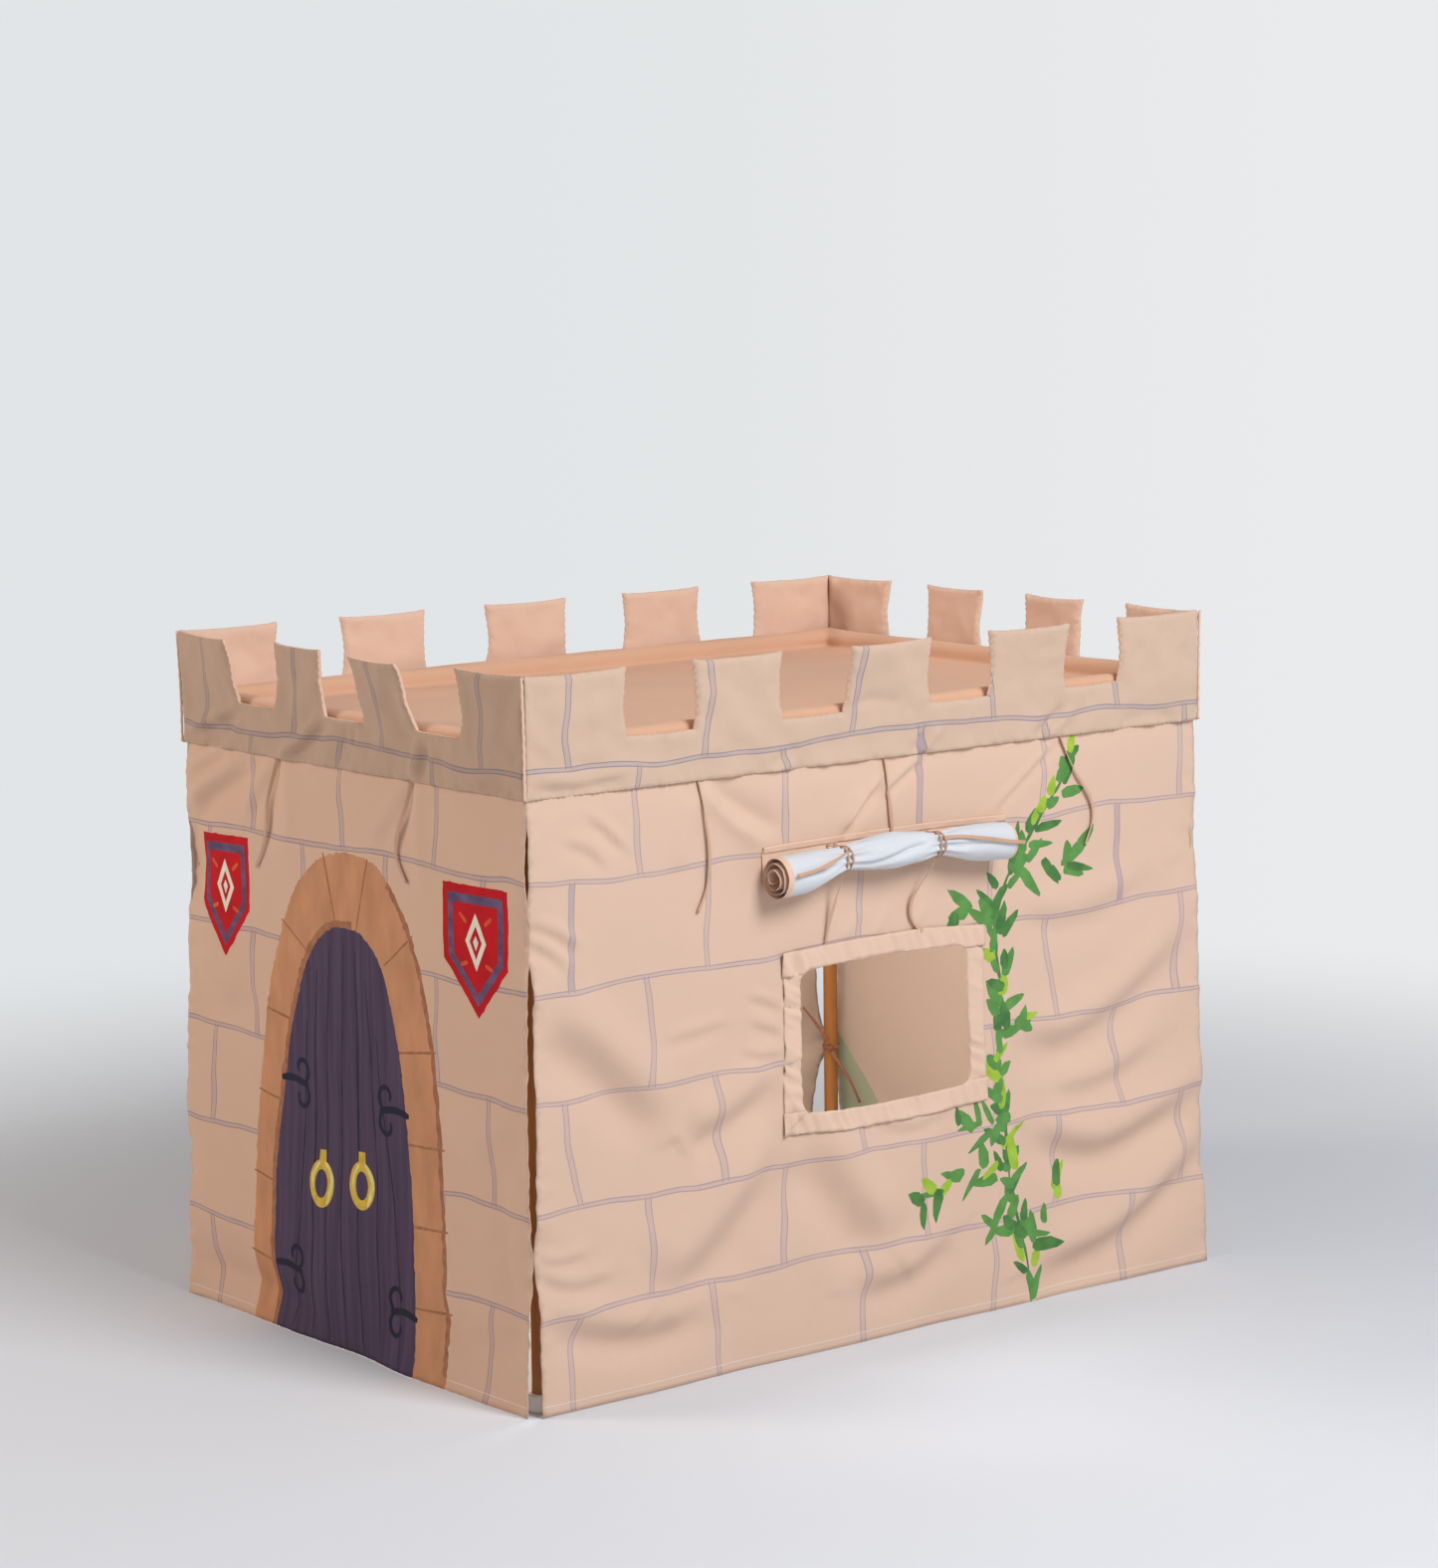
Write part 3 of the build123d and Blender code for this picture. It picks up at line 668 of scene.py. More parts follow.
# Paints of the prints: streaked with another colour, or with their own, this many times as light
paints = {
    "arch": ("arch stones", 1.22, (30, 12, 1), 1.0),
    "archDark": ("arch joints", "arch", (80, 80, 1), 0.5),
    "plank": ("door planks", "plankLight", (90, 3, 1), 0.8),
    "plankDark": ("plank gaps", "plank", (80, 20, 1), 0.6),
    "iron": ("iron hinges", "plankDark", (60, 60, 1), 1.0),
    "gold": ("gold rings", 1.3, (90, 90, 1), 1.0),
    "goldLight": ("gold highlights", "gold", (120, 60, 1), 0.5),
    "crest": ("crest red", 1.25, (20, 20, 1), 1.0),
    "crestBand": ("crest band", 1.7, (25, 60, 1), 1.0),
    "crestCream": ("crest cream", 0.9, (40, 40, 1), 1.0),
    "crestOrange": ("crest orange", "crest", (60, 60, 1), 0.4),
    "leaf": ("leaf green", 1.3, (45, 45, 1), 1.0),
    "leafDark": ("leaf dark green", "leaf", (45, 45, 1), 1.0),
    "leafLime": ("leaf lime", 0.75, (45, 45, 1), 1.0),
}
printFinish = {}
for name, (title, streak, stretch, amount) in paints.items():
    second = colours[streak] if streak in colours else tuple(streak * value for value in colours[name])
    printFinish[name] = finishPaint(title, colours[name], second, stretch, amount)
pineUpright = finishPine("pine, upright", 2)
pineLong = finishPine("pine, long rails", 1)
pineShort = finishPine("pine, short rails", 0)
plastic = finishPlastic("white plastic")
print("castle: finishes made")


# Outlines for the prints
def stroke(points, width, tip=0.25, seed=0, rough=0.0):  # a brush stroke along a few points
    line = bentLine(points, 6)
    run = np.gradient(line, axis=0)
    run /= np.maximum(np.linalg.norm(run, axis=1), 1e-9)[:, None]
    across = np.stack((-run[:, 1], run[:, 0]), axis=1)
    t = np.linspace(0, 1, len(line))
    fullness = np.clip(np.minimum(t, 1 - t) / 0.25, 0, 1)
    dice = random.Random(seed)
    half = width / 2 * (tip + (1 - tip) * np.sqrt(fullness))
    edges = []
    for way in (1, -1):
        edge = []
        for index in range(len(line)):
            uneven = 1 + rough * dice.uniform(-1, 1)
            edge.append(tuple(line[index] + way * across[index] * half[index] * uneven))
        edges.append(edge)
    return edges[0] + edges[1][::-1]


def ellipse(x, y, halfWidth, halfHeight, count=18):
    turns = [2 * math.pi * step / count for step in range(count)]
    return [(x + halfWidth * math.cos(turn), y + halfHeight * math.sin(turn)) for turn in turns]


doorPrint = {
    "middle": -0.018,
    "plankHalf": 0.166, "plankHeight": 0.584,
    "archOutline": spots(
        -246, 2, -240, 200, -209, 430, -158, 578, -86, 662, 2, 686, 84, 668, 152, 586, 195, 450, 218, 210,
        224, 2,
    ),
    "doorOutline": spots(
        -190, 2, -189, 200, -166, 344, -131, 468, -90, 542, -46, 577, 0, 583,
        38, 577, 80, 540, 107, 468, 127, 380, 144, 205, 151, 2,
    ),
    "joints": [spots(*joint) for joint in (
        (-252, 98, -184, 90), (-243, 212, -184, 204), (-228, 330, -165, 320), (-205, 448, -133, 438),
        (-164, 577, -100, 540), (-62, 680, -30, 578), (48, 684, 18, 580), (152, 594, 86, 546),
        (201, 446, 108, 432), (215, 318, 128, 312), (223, 210, 140, 203), (228, 100, 146, 94),
    )],
    "archWobble": 0.0035,
    "shadedShare": 0.52,
    "rimShares": (0.62, 0.99),
    "plankShares": (0, 0.2, 0.4, 0.6, 0.8, 1),
    "ringPlaces": ((-0.070, 0.224), (0.024, 0.237)),
    "ringHalf": (0.029, 0.033),
    "ringPlate": spots(-8, -6, 9, -5, 8, 14, -7, 13),
    "ringShines": ((spots(6, 31, 24, 8, 14, -27), 0.007), (spots(-6, 29, -20, 10, -19, -10), 0.004)),
    "hinges": ((-1, 0.355), (1, 0.350), (-1, 0.092), (1, 0.078)),
    "hingeBar": spots(12, 0, -20, 4, -56, -2),
}


def roughLine(points, wobble, inset=0.0, start=0.0, stop=1.0):  # a part of a smooth line with a painted edge
    line = bentLine(points, 24)
    run = np.gradient(line, axis=0)
    run /= np.linalg.norm(run, axis=1)[:, None]
    right = np.stack((run[:, 1], -run[:, 0]), axis=1)
    shifts = [
        inset + wobble * noise.noise(Vector((x * 140, y * 140, wobble * 900 + inset * 300)))
        for x, y in line
    ]
    line = line + right * np.array(shifts)[:, None]
    line[:, 1] = np.maximum(line[:, 1], castle["hem"])
    first, last = int(start * (len(line) - 1)), int(stop * (len(line) - 1))
    return [tuple(point) for point in line[first:last + 1]]


def doorShapes():
    door = doorPrint
    outer, inner = door["archOutline"], door["doorOutline"]
    wobble, shaded, rimPart = door["archWobble"], door["shadedShare"], door["rimShares"]
    shade = roughLine(inner, 0.004, -0.010, 0.0, shaded) + roughLine(inner, 0.0, 0.004, 0.0, shaded)[::-1]
    rim = roughLine(outer, wobble, 0.0, *rimPart) + roughLine(outer, 0.005, 0.0085, *rimPart)[::-1]
    shapes = [(roughLine(outer, wobble), "arch"), (shade, "archDark"), (rim, "archDark")]
    for number, joint in enumerate(door["joints"]):
        shapes.append((stroke(joint, 0.0036, 0.7, number, 0.3), "archDark"))
    shapes.append((roughLine(inner, 0.0022), "plank"))
    for plank in range(7):
        foot = -0.80 + 1.6 * plank / 6
        top = 0.62 * foot
        reach = 1 - abs(top) ** 2.3
        line = []
        for t in door["plankShares"]:
            wave = 0.006 * math.sin(4.2 * t + plank)
            x = door["middle"] + door["plankHalf"] * (foot + (top - foot) * t) + wave
            line.append((x, castle["hem"] + 0.006 + t * (door["plankHeight"] * reach - 0.03)))
        shapes.append((stroke(line, 0.0048 if plank % 3 == 1 else 0.0032, 0.4, plank, 0.35), "plankDark"))
    for way, height in door["hinges"]:
        edge = door["middle"] + way * (door["plankHalf"] * (1 - 0.35 * height) - 0.002)
        bar = [(edge + way * outward, height + up) for outward, up in door["hingeBar"]]
        shapes.append((stroke(bar, 0.010, 0.6), "iron"))
        for curl in (-1, 1):
            spiral = []
            for step in range(9):
                angle, radius = step * 0.66, 0.020 - 0.0015 * step
                x = edge - way * (0.040 + radius * math.sin(angle))
                spiral.append((x, height + curl * (0.019 - radius * math.cos(angle))))
            shapes.append((stroke(spiral, 0.0070, 0.4), "iron"))
    ringX, ringY = door["ringHalf"]
    for x, y in door["ringPlaces"]:
        shapes.append(([(x + right, y + ringY + up) for right, up in door["ringPlate"]], "gold"))
        shapes.append((ellipse(x, y, ringX, ringY, 24), "gold"))
        for shine, width in door["ringShines"]:
            shapes.append((stroke([(x + right, y + up) for right, up in shine], width, 0.2), "goldLight"))
        shapes.append((ellipse(x, y, ringX * 0.50, ringY * 0.60), "plank"))
    return shapes


crestPrint = {
    "shields": (
        spots(-365, 675, -243, 680, -243, 577, -306, 505, -368, 580),
        spots(222, 677, 364, 679, 362, 575, 296, 505, 224, 577),
    ),
    "layers": ((0.84, "crestBand"), (0.68, "crest")),
    "lozenge": spots(0, 40, 22, 2, 0, -36, -22, 2),
    "lozenges": ((1.0, "crestCream"), (0.58, "crest"), (0.26, "crestCream")),
    "wobble": 0.0016,
}


def crestShapes():
    crest = crestPrint
    shapes = []
    for points in crest["shields"]:
        middle = np.mean(points, axis=0)
        rough = []
        for x, y in evenly(points, 0.006):
            shift = [crest["wobble"] * noise.noise(Vector((x * 90, y * 90, seed))) for seed in (3, 8)]
            rough.append((x + shift[0], y + shift[1]))
        shapes.append((rough, "crest"))
        for share, finish in crest["layers"]:
            shapes.append(([tuple(middle + (np.array(point) - middle) * share) for point in rough], finish))
        x, y = middle
        for share, finish in crest["lozenges"]:  # the side corners stay at one height
            corner = [
                (x + right * share, y + (up * share if right == 0 else up))
                for right, up in crest["lozenge"]
            ]
            shapes.append((corner, finish))
        for wayX, wayY in ((-1, 1), (1, 1), (-1, -1), (1, -1)):
            dab = [(x + wayX * 0.019, y + wayY * 0.026), (x + wayX * 0.034, y + wayY * 0.034 + 0.003)]
            shapes.append((stroke(dab, 0.0055, 0.5), "crestOrange"))
    return shapes


vinePrint = {
    "stem": spots(
        262, 4, 250, 80, 226, 170, 216, 270, 203, 360, 212, 450,
        204, 530, 222, 600, 262, 655, 300, 700, 330, 735, 352, 770,
    ),
    "branches": tuple(spots(*branch) for branch in (
        (250, 85, 280, 115, 318, 165), (246, 100, 215, 118, 180, 120),
        (224, 190, 170, 215, 105, 190, 45, 168),
        (216, 270, 185, 262, 140, 272), (206, 390, 232, 410, 256, 400), (204, 540, 168, 572, 122, 560),
        (240, 630, 285, 622, 330, 612, 368, 638),
    )),
    "step": 0.0112,
    "ahead": 0.01,
    "spread": (0.013, 0.008),
    "skipped": 0.10,
    "leafLength": (0.026, 0.054),
    "leafWidth": (0.0105, 0.0200),
    "finishes": {"leaf": 0.60, "leafDark": 0.28, "leafLime": 0.12},
    "seed": 11,
    "mark": (
        (0.0, -0.22), (0.10, -0.45), (0.45, -0.5), (0.80, -0.34), (1.0, -0.02), (0.93, 0.14),
        (0.62, 0.42), (0.25, 0.5), (0.02, 0.24),
    ),
}
bushPrint = {
    "outline": spots(396, 226, 380, 208, 349, 173, 320, 139, 290, 104, 262, 68, 230, 4),
    "blades": (
        (spots(380, 10, 380, 110, 384, 200), 0.022), (spots(352, 8, 360, 90, 352, 156), 0.024),
        (spots(322, 6, 326, 65, 312, 118), 0.022), (spots(290, 6, 290, 40, 274, 72), 0.020),
    ),
}


def leafShape(x, y, angle, length, width, dice):  # one loaded brush mark, blunt where it starts
    along = Vector((math.cos(angle), math.sin(angle)))
    across = Vector((-along.y, along.x))
    points = []
    for t, side in vinePrint["mark"]:
        far = along * length * (t + dice.uniform(-0.03, 0.03))
        point = Vector((x, y)) + far + across * width * (side + dice.uniform(-0.07, 0.07))
        points.append((point.x, max(point.y, castle["hem"] + 0.002)))
    return points


def vineShapes(vine):
    dice = random.Random(vine["seed"])
    shapes = [(stroke(vine["stem"], 0.0055, 0.5, 4, 0.5), "leafDark")]
    for route in (vine["stem"],) + vine["branches"]:
        line = bentLine(route, 20)
        travel = np.concatenate(([0], np.cumsum(np.linalg.norm(np.diff(line, axis=0), axis=1))))
        for index in range(int(travel[-1] / vine["step"]) + 1):
            far = index * vine["step"]
            further = far + vine["ahead"]
            at, ahead = (
                np.array([np.interp(stop, travel, line[:, axis]) for axis in (0, 1)])
                for stop in (far, further)
            )
            heading = math.atan2(*(ahead - at)[::-1]) if further < travel[-1] else math.pi / 3
            turn = (1 if index % 2 else -1) * dice.uniform(0.05, 1.15)
            finish = dice.choices(list(vine["finishes"]), list(vine["finishes"].values()))[0]
            length, width = dice.uniform(*vine["leafLength"]), dice.uniform(*vine["leafWidth"])
            x, y = at + np.array([dice.uniform(-side, side) for side in vine["spread"]])
            if dice.random() < vine["skipped"]:
                continue
            shapes.append((leafShape(x, y, heading + turn, length, width, dice), finish))
    return shapes


# Wall cloths, hung from the seam and free at the corners below it
wallSet = {
    "spacing": 0.0072,
    "thickness": 0.0011,
    "inset": 0.00525,
    "topInset": 0.0062,
    "hemOut": 0.010,
    "hemSag": 0.0030,
    "waveDrop": 0.520,
    "tieHeights": (0.625, 0.203),
    "tiePull": 0.0065, "tiePullReach": (0.050, 0.030),
    "tieRipple": 0.0016, "tieRippleLength": 0.0075, "tieRippleReach": 0.045,
    "edgePucker": 0.0034, "edgePuckerSize": 0.014, "edgePuckerReach": 0.026,
    "seamHold": 0.10,
    "seamPucker": 0.0012, "seamPuckerSize": 0.010, "seamPuckerReach": 0.016, "seamDip": 0.0020,
    "slits": {
        "front": (0.002, 0.004), "right": (0.005, 0.003), "back": (0.003, 0.010), "left": (0.036, 0.003),
    },
    "slitShares": (0.35, 1.0, 1.15),
    "hemEnds": {
        "front": (0.016, -0.002), "right": (-0.002, 0.016), "back": (-0.002, -0.002),
        "left": (-0.002, -0.002),
    },
    "hemWaves": {
        "front": (0.002, -0.003, 0.005, -0.002, 0.001, -0.002, 0.004),
        "right": (0.001, 0.003, -0.003, 0.002, -0.002, 0.004, 0.000, 0.003),
        "back": (0.002, -0.003, 0.002, -0.001, 0.003, 0.000),
        "left": (0.001, 0.003, -0.002, 0.003, -0.003, 0.002, -0.001, 0.002),
    },
}
windowSet = {
    "left": -0.151, "right": 0.149, "low": 0.333, "high": 0.525, "corner": 0.014, "bow": 0.0055,
    "facing": 0.029,
    "cutWidth": 0.304, "cutHeight": 0.196,
}

wallFolds = {
    "right": (
        (-316, 790, -268, 742, -205, 700, 12, 30), (-300, 792, -240, 752, -170, 715, 16, -30),
        (-320, 785, -345, 730, -350, 680, 16, 16), (-80, 698, -36, 740, 2, 770, 9, 30, "tilt"),
        (0, 748, 34, 770, 76, 793, 8, 26, "tilt"), (-70, 705, -55, 735, -40, 760, 12, 16),
        (200, 702, 262, 748, 330, 796, 7, 18, "tilt"), (-500, 770, -468, 746, -436, 716, 8, 16, "tilt"),
        (-540, 740, -500, 726, -470, 700, 10, 13, "tilt"),
        (-575, 520, -478, 440, -385, 345, 42, 54, "tilt"),
        (-352, 332, -280, 348, -186, 394, 32, 46, "tilt"),
        (-385, 462, -330, 466, -270, 474, 11, 12, "tilt"), (-240, 502, -210, 492, -184, 480, 8, 16, "tilt"),
        (-236, 466, -208, 456, -184, 448, 8, 15, "tilt"), (-255, 430, -216, 420, -184, 420, 9, 15, "tilt"),
        (-400, 125, -300, 192, -182, 302, 50, 68, "tilt"), (-134, 296, -78, 212, -6, 126, 46, 58, "tilt"),
        (-590, 128, -440, 86, -290, 98, 30, 42, "tilt"), (-70, 78, 30, 82, 120, 124, 30, 40, "tilt"),
        (-20, 300, 40, 285, 120, 300, 12, 12, "tilt"), (262, 248, 400, 206, 604, 268, 34, 52, "tilt"),
        (262, 46, 430, 80, 616, 198, 36, 58, "tilt"),
        (236, 392, 330, 372, 450, 416, 592, 512, 36, 44, "tilt"),
        (300, 300, 400, 300, 520, 345, 24, 22, "tilt"), (240, 560, 360, 545, 520, 590, 30, 20, "tilt"),
        (-82, 560, -58, 578, -40, 600, 7, 15), (-22, 560, -6, 576, 2, 596, 7, 14),
        (44, 562, 62, 574, 76, 592, 7, 12), (-596, 640, -560, 628, -515, 600, 10, 18, "tilt"),
        (-596, 618, -568, 604, -535, 572, 9, 14, "tilt"), (-596, 215, -560, 200, -510, 205, 10, 16, "tilt"),
        (-596, 190, -540, 165, -470, 170, 14, 18, "tilt"),
    ),
    "front": (
        (-390, 706, -330, 742, -235, 784, 20, 56, "tilt"),
        (-392, 756, -350, 772, -290, 798, 12, 34, "tilt"), (-400, 690, -375, 640, -384, 560, 20, -36),
        (-400, 118, -260, 114, -120, 96, 34, 12), (-420, 52, -240, 50, -60, 30, 32, -56),
        (-380, -16, -230, -16, -80, -20, 26, 30), (40, -12, 200, -10, 390, -6, 30, 52),
        (-166, 794, -180, 740, -192, 670, 10, -22), (-150, 794, -140, 740, -150, 660, 16, 18),
        (-250, 700, -222, 740, -170, 792, 14, 18, "tilt"), (152, 794, 140, 745, 122, 700, 10, -22),
        (165, 794, 166, 740, 180, 640, 16, 20), (60, 700, 100, 745, 148, 790, 16, 16, "tilt"),
        (395, 740, 385, 640, 392, 540, 18, 18), (330, 330, 350, 200, 380, 80, 30, -24),
        (-100, 260, -60, 140, -70, 10, 40, 30), (60, 300, 100, 150, 85, 10, 40, -28),
        (-400, 500, -330, 450, -250, 460, 34, 24, "tilt"), (200, 360, 300, 330, 400, 380, 34, 24, "tilt"),
        (180, 130, 290, 90, 400, 120, 30, 26, "tilt"),
    ),
    "back": (
        (-380, 700, -250, 620, -100, 640, 34, -60), (-350, 300, -200, 200, 20, 260, 36, 70),
        (380, 560, 250, 480, 80, 460, 34, -30), (370, 200, 240, 110, 90, 90, 34, 22),
        (-100, 780, -80, 600, -110, 450, 26, 40), (180, 780, 150, 640, 200, 520, 26, 35),
    ),
    "left": (
        (-590, 620, -440, 500, -260, 520, 36, -75), (-580, 240, -420, 140, -230, 190, 34, 70),
        (-120, 760, -60, 600, -100, 440, 30, 45), (-50, 320, 80, 200, 260, 230, 34, -65),
        (590, 540, 460, 420, 300, 450, 36, 70), (590, 220, 480, 120, 330, 120, 30, -65),
        (180, 780, 230, 680, 210, 560, 26, 35),
    ),
}


wallSwell = ((0.30, 0.0042, 0), (0.11, 0.0018, 20), (0.045, 0.0006, 40))  # size, height, seed


def wallOut(side, flat):  # how far the cloth stands out of the battlement's outer face
    along, height = flat[:, 0], flat[:, 1]
    drop = castle["seam"] - height
    out = hangOut(drop)
    waves = wallSet["hemWaves"][side]
    half = sides[side]["half"]
    count = len(waves) * 6
    waving = np.interp(np.linspace(0, 1, count), np.linspace(0, 1, len(waves)), waves)
    stir = np.interp(along, np.linspace(-half, half, count), waving)
    start, full = wallSet["waveDrop"], castle["wallDrop"]
    out = out + stir * np.clip((drop - start) / (full - start), 0, 1) ** 1.2
    free = np.clip(drop / wallSet["seamHold"], 0, 1)  # the seam holds the cloth flat
    seed = 3.0 + list(sides).index(side)
    swell = sum(stirred(flat, size, amount, seed + more) for size, amount, more in wallSwell)
    out = out + free * swell + foldStrength[side] * foldLift(flat, wallFolds[side])
    edge = half - np.abs(along)
    tall, wide = wallSet["tiePullReach"]
    rippled = wallSet["tieRippleReach"]
    for tie in wallSet["tieHeights"]:
        out = out - wallSet["tiePull"] * np.exp(-((height - tie) / tall) ** 2 - (edge / wide) ** 2)
        nearTie = np.exp(-((height - tie) / rippled) ** 2 - (edge / rippled) ** 2)
        ripple = np.sin((height - tie) / wallSet["tieRippleLength"] + along * 40)
        out = out + wallSet["tieRipple"] * ripple * nearTie
    hemmed = np.exp(-((edge / wallSet["edgePuckerReach"]) ** 2)) * np.clip(drop / 0.03, 0, 1)
    slanted = np.stack((0.25 * along, height + 0.3 * np.abs(along)), axis=1)
    puckers = stirred(slanted, wallSet["edgePuckerSize"], 1.0, seed + 80)
    out = out + wallSet["edgePucker"] * hemmed * puckers  # down the free edges
    nearSeam = np.exp(-((drop / wallSet["seamPuckerReach"]) ** 2))
    gathers = stirred(flat, wallSet["seamPuckerSize"], 1.0, seed + 60)  # where it is sewn under the band
    return out + wallSet["seamPucker"] * nearSeam * gathers - wallSet["seamDip"] * nearSeam


def hangOut(drop):  # the same without folds and swell
    return -wallSet["inset"] + wallSet["hemOut"] * drop / castle["wallDrop"]


def slitShape(height):  # the free edges draw back from the corner between the ties
    upper, lower = wallSet["tieHeights"]
    stops = (castle["seam"] - 0.025, upper, lower, 0.0)
    gape = np.zeros(len(height))
    for high, low, share in zip(stops, stops[1:], wallSet["slitShares"]):
        t = np.clip((height - low) / (high - low), 0, 1)
        opened = np.sin(math.pi * (t if low > 0 else 0.5 + 0.5 * t)) ** 0.45
        gape += share * opened * ((height <= high) & (height > low))
    return gape


def wallPlaces(side, flat):  # the cloth on its wall, wider at the hem, which just clears the floor
    half = sides[side]["half"] - wallSet["topInset"]
    drop = (castle["seam"] - flat[:, 1]) / castle["wallDrop"]
    spread = np.empty((len(flat), 2))
    for way, extra in zip((0, 1), wallSet["hemEnds"][side]):
        nearEnd = np.clip((flat[:, 0] * (1 if way else -1) / half - 0.35) / 0.65, 0, 1) ** 2
        reach = (wallSet["topInset"] + extra) * drop - wallSet["slits"][side][way] * slitShape(flat[:, 1])
        spread[:, way] = reach * nearEnd
    moved = flat.copy()
    moved[:, 0] += spread[:, 1] - spread[:, 0]
    moved[:, 1] -= wallSet["hemSag"] * np.clip((0.030 - flat[:, 1]) / 0.026, 0, 1)
    return moved


def roundedWindow(grow=0.0):  # the opening: rounded corners, top and bottom bowed out a little
    window = windowSet
    radius = window["corner"]
    left, right = window["left"] - grow, window["right"] + grow
    low, high = window["low"] - grow, window["high"] + grow
    middle, half = (left + right) / 2, (right - left) / 2
    rounds = (
        (right, high, -1, -1, 0), (left, high, 1, -1, 90), (left, low, 1, 1, 180), (right, low, -1, 1, 270),
    )
    points = []
    for index, (x, y, wayX, wayY, start) in enumerate(rounds):
        centreX, centreY = x + wayX * radius, y + wayY * radius
        for step in range(7):
            turn = math.radians(start + 15 * step)
            points.append((centreX + radius * math.cos(turn), centreY + radius * math.sin(turn)))
        if index in (0, 2):
            points += [(middle - (1 - index) * t * half, y) for t in (-0.6, -0.3, 0.0, 0.3, 0.6)]
    bowed = []
    for x, y in points:
        bow = window["bow"] * (1 - min(1, abs(x - middle) / half) ** 2)
        bowed.append((x, y + (bow if y > (low + high) / 2 else -bow)))
    return bowed


def wallPrints(side):
    if side == "front":
        return doorShapes() + crestShapes()
    if side == "right":
        return vineShapes(vinePrint)
    if side == "left":
        return []
    shapes = [(roughLine(bushPrint["outline"], 0.0015) + [(0.396, 0.004)], "leaf")]
    for number, (blade, width) in enumerate(bushPrint["blades"]):
        shapes.append((stroke(blade, width, 0.12, number, 0.1), "leafLime" if number == 2 else "leafDark"))
    return shapes


def makeWall(side):
    half = sides[side]["half"] - wallSet["topInset"]
    low, high = castle["hem"], castle["seam"] + 0.002
    outline = [(-half, low), (half, low), (half, high), (-half, high)]
    shapes = wallPrints(side)
    names = list(dict.fromkeys(finish for shape, finish in shapes))
    prints = [(shape, names.index(finish) + 1) for shape, finish in shapes]
    holes = [roundedWindow(0.002)] if side == "right" else []
    flat, triangles, finish = cutCloth(outline, wallSet["spacing"], prints, holes)
    places = toWorld(side, wallPlaces(side, flat), wallOut(side, flat))
    outer = [stoneFinish[side]] + [printFinish[name] for name in names]
    inner = [insideCloth] + [insideLeaf if "leaf" in name else insideCloth for name in names]
    wall = newPiece("wall_" + side + "_cloth", places, triangles, outer + inner, flat, finish)
    giveThickness(wall, wallSet["thickness"], len(outer))
    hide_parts("wall_" + side)
    return wall


# Padded battlements. Merlons: start, stop, lean of the left and the right edge at the top, extra height
battlementSet = {
    "spacing": 0.0065,
    "crenel": castle["seam"] + 0.068,
    "round": 0.0075,
    "seamEdge": 0.0004,
    "fullness": 0.0056,
    "waist": 0.0030,
    "sag": 0.0022,
    "ear": 0.0022,
    "creases": 2.2,
    "seamRound": 0.45, "seamRoundRise": 0.009,
    "dimple": 0.16, "dimpleDepth": 0.030, "dimpleWidth": 0.02,
    "gathers": 0.0011, "gatherLength": 0.0034, "gatherReach": 0.011,
    "scallop": 0.0022, "scallopSize": 0.013, "scallopReach": 0.010,
    "cornerHold": 0.012, "cornerRound": 0.0012, "cornerRoundReach": 0.005, "mitreReach": 0.060,
    "edgeStep": 0.003,
    "edgeRows": ((0.0009, 1), (0.0028, 1), (0.0055, 2)),
    "swell": ((0.10, 0.0040, 0), (0.040, 0.0036, 5), (0.018, 0.0011, 15)),
}
merlons = {
    "front": (
        (-0.408, -0.259, 0.004, 0.026, 0.000), (-0.165, -0.046, 0.002, 0.010, 0.002),
        (0.048, 0.162, 0.024, 0.033, 0.000), (0.271, 0.408, 0.012, 0.002, 0.003),
    ),
    "right": (
        (-0.600, -0.434, 0.002, 0.000, 0.000), (-0.322, -0.178, 0.000, 0.003, 0.001),
        (-0.066, 0.082, 0.014, 0.010, 0.000),
        (0.195, 0.334, 0.004, 0.012, 0.001), (0.445, 0.600, 0.000, 0.002, 0.001),
    ),
    "back": (
        (-0.408, -0.263, 0.002, 0.004, 0.000), (-0.168, -0.048, 0.005, 0.003, 0.000),
        (0.048, 0.168, 0.000, 0.004, 0.000), (0.263, 0.408, 0.003, 0.003, 0.001),
    ),
    "left": (
        (-0.600, -0.440, 0.003, 0.002, 0.001), (-0.328, -0.184, 0.004, 0.000, 0.000),
        (-0.072, 0.072, 0.000, 0.004, 0.000),
        (0.184, 0.328, 0.006, 0.003, 0.000), (0.440, 0.600, 0.004, 0.004, 0.001),
    ),
}

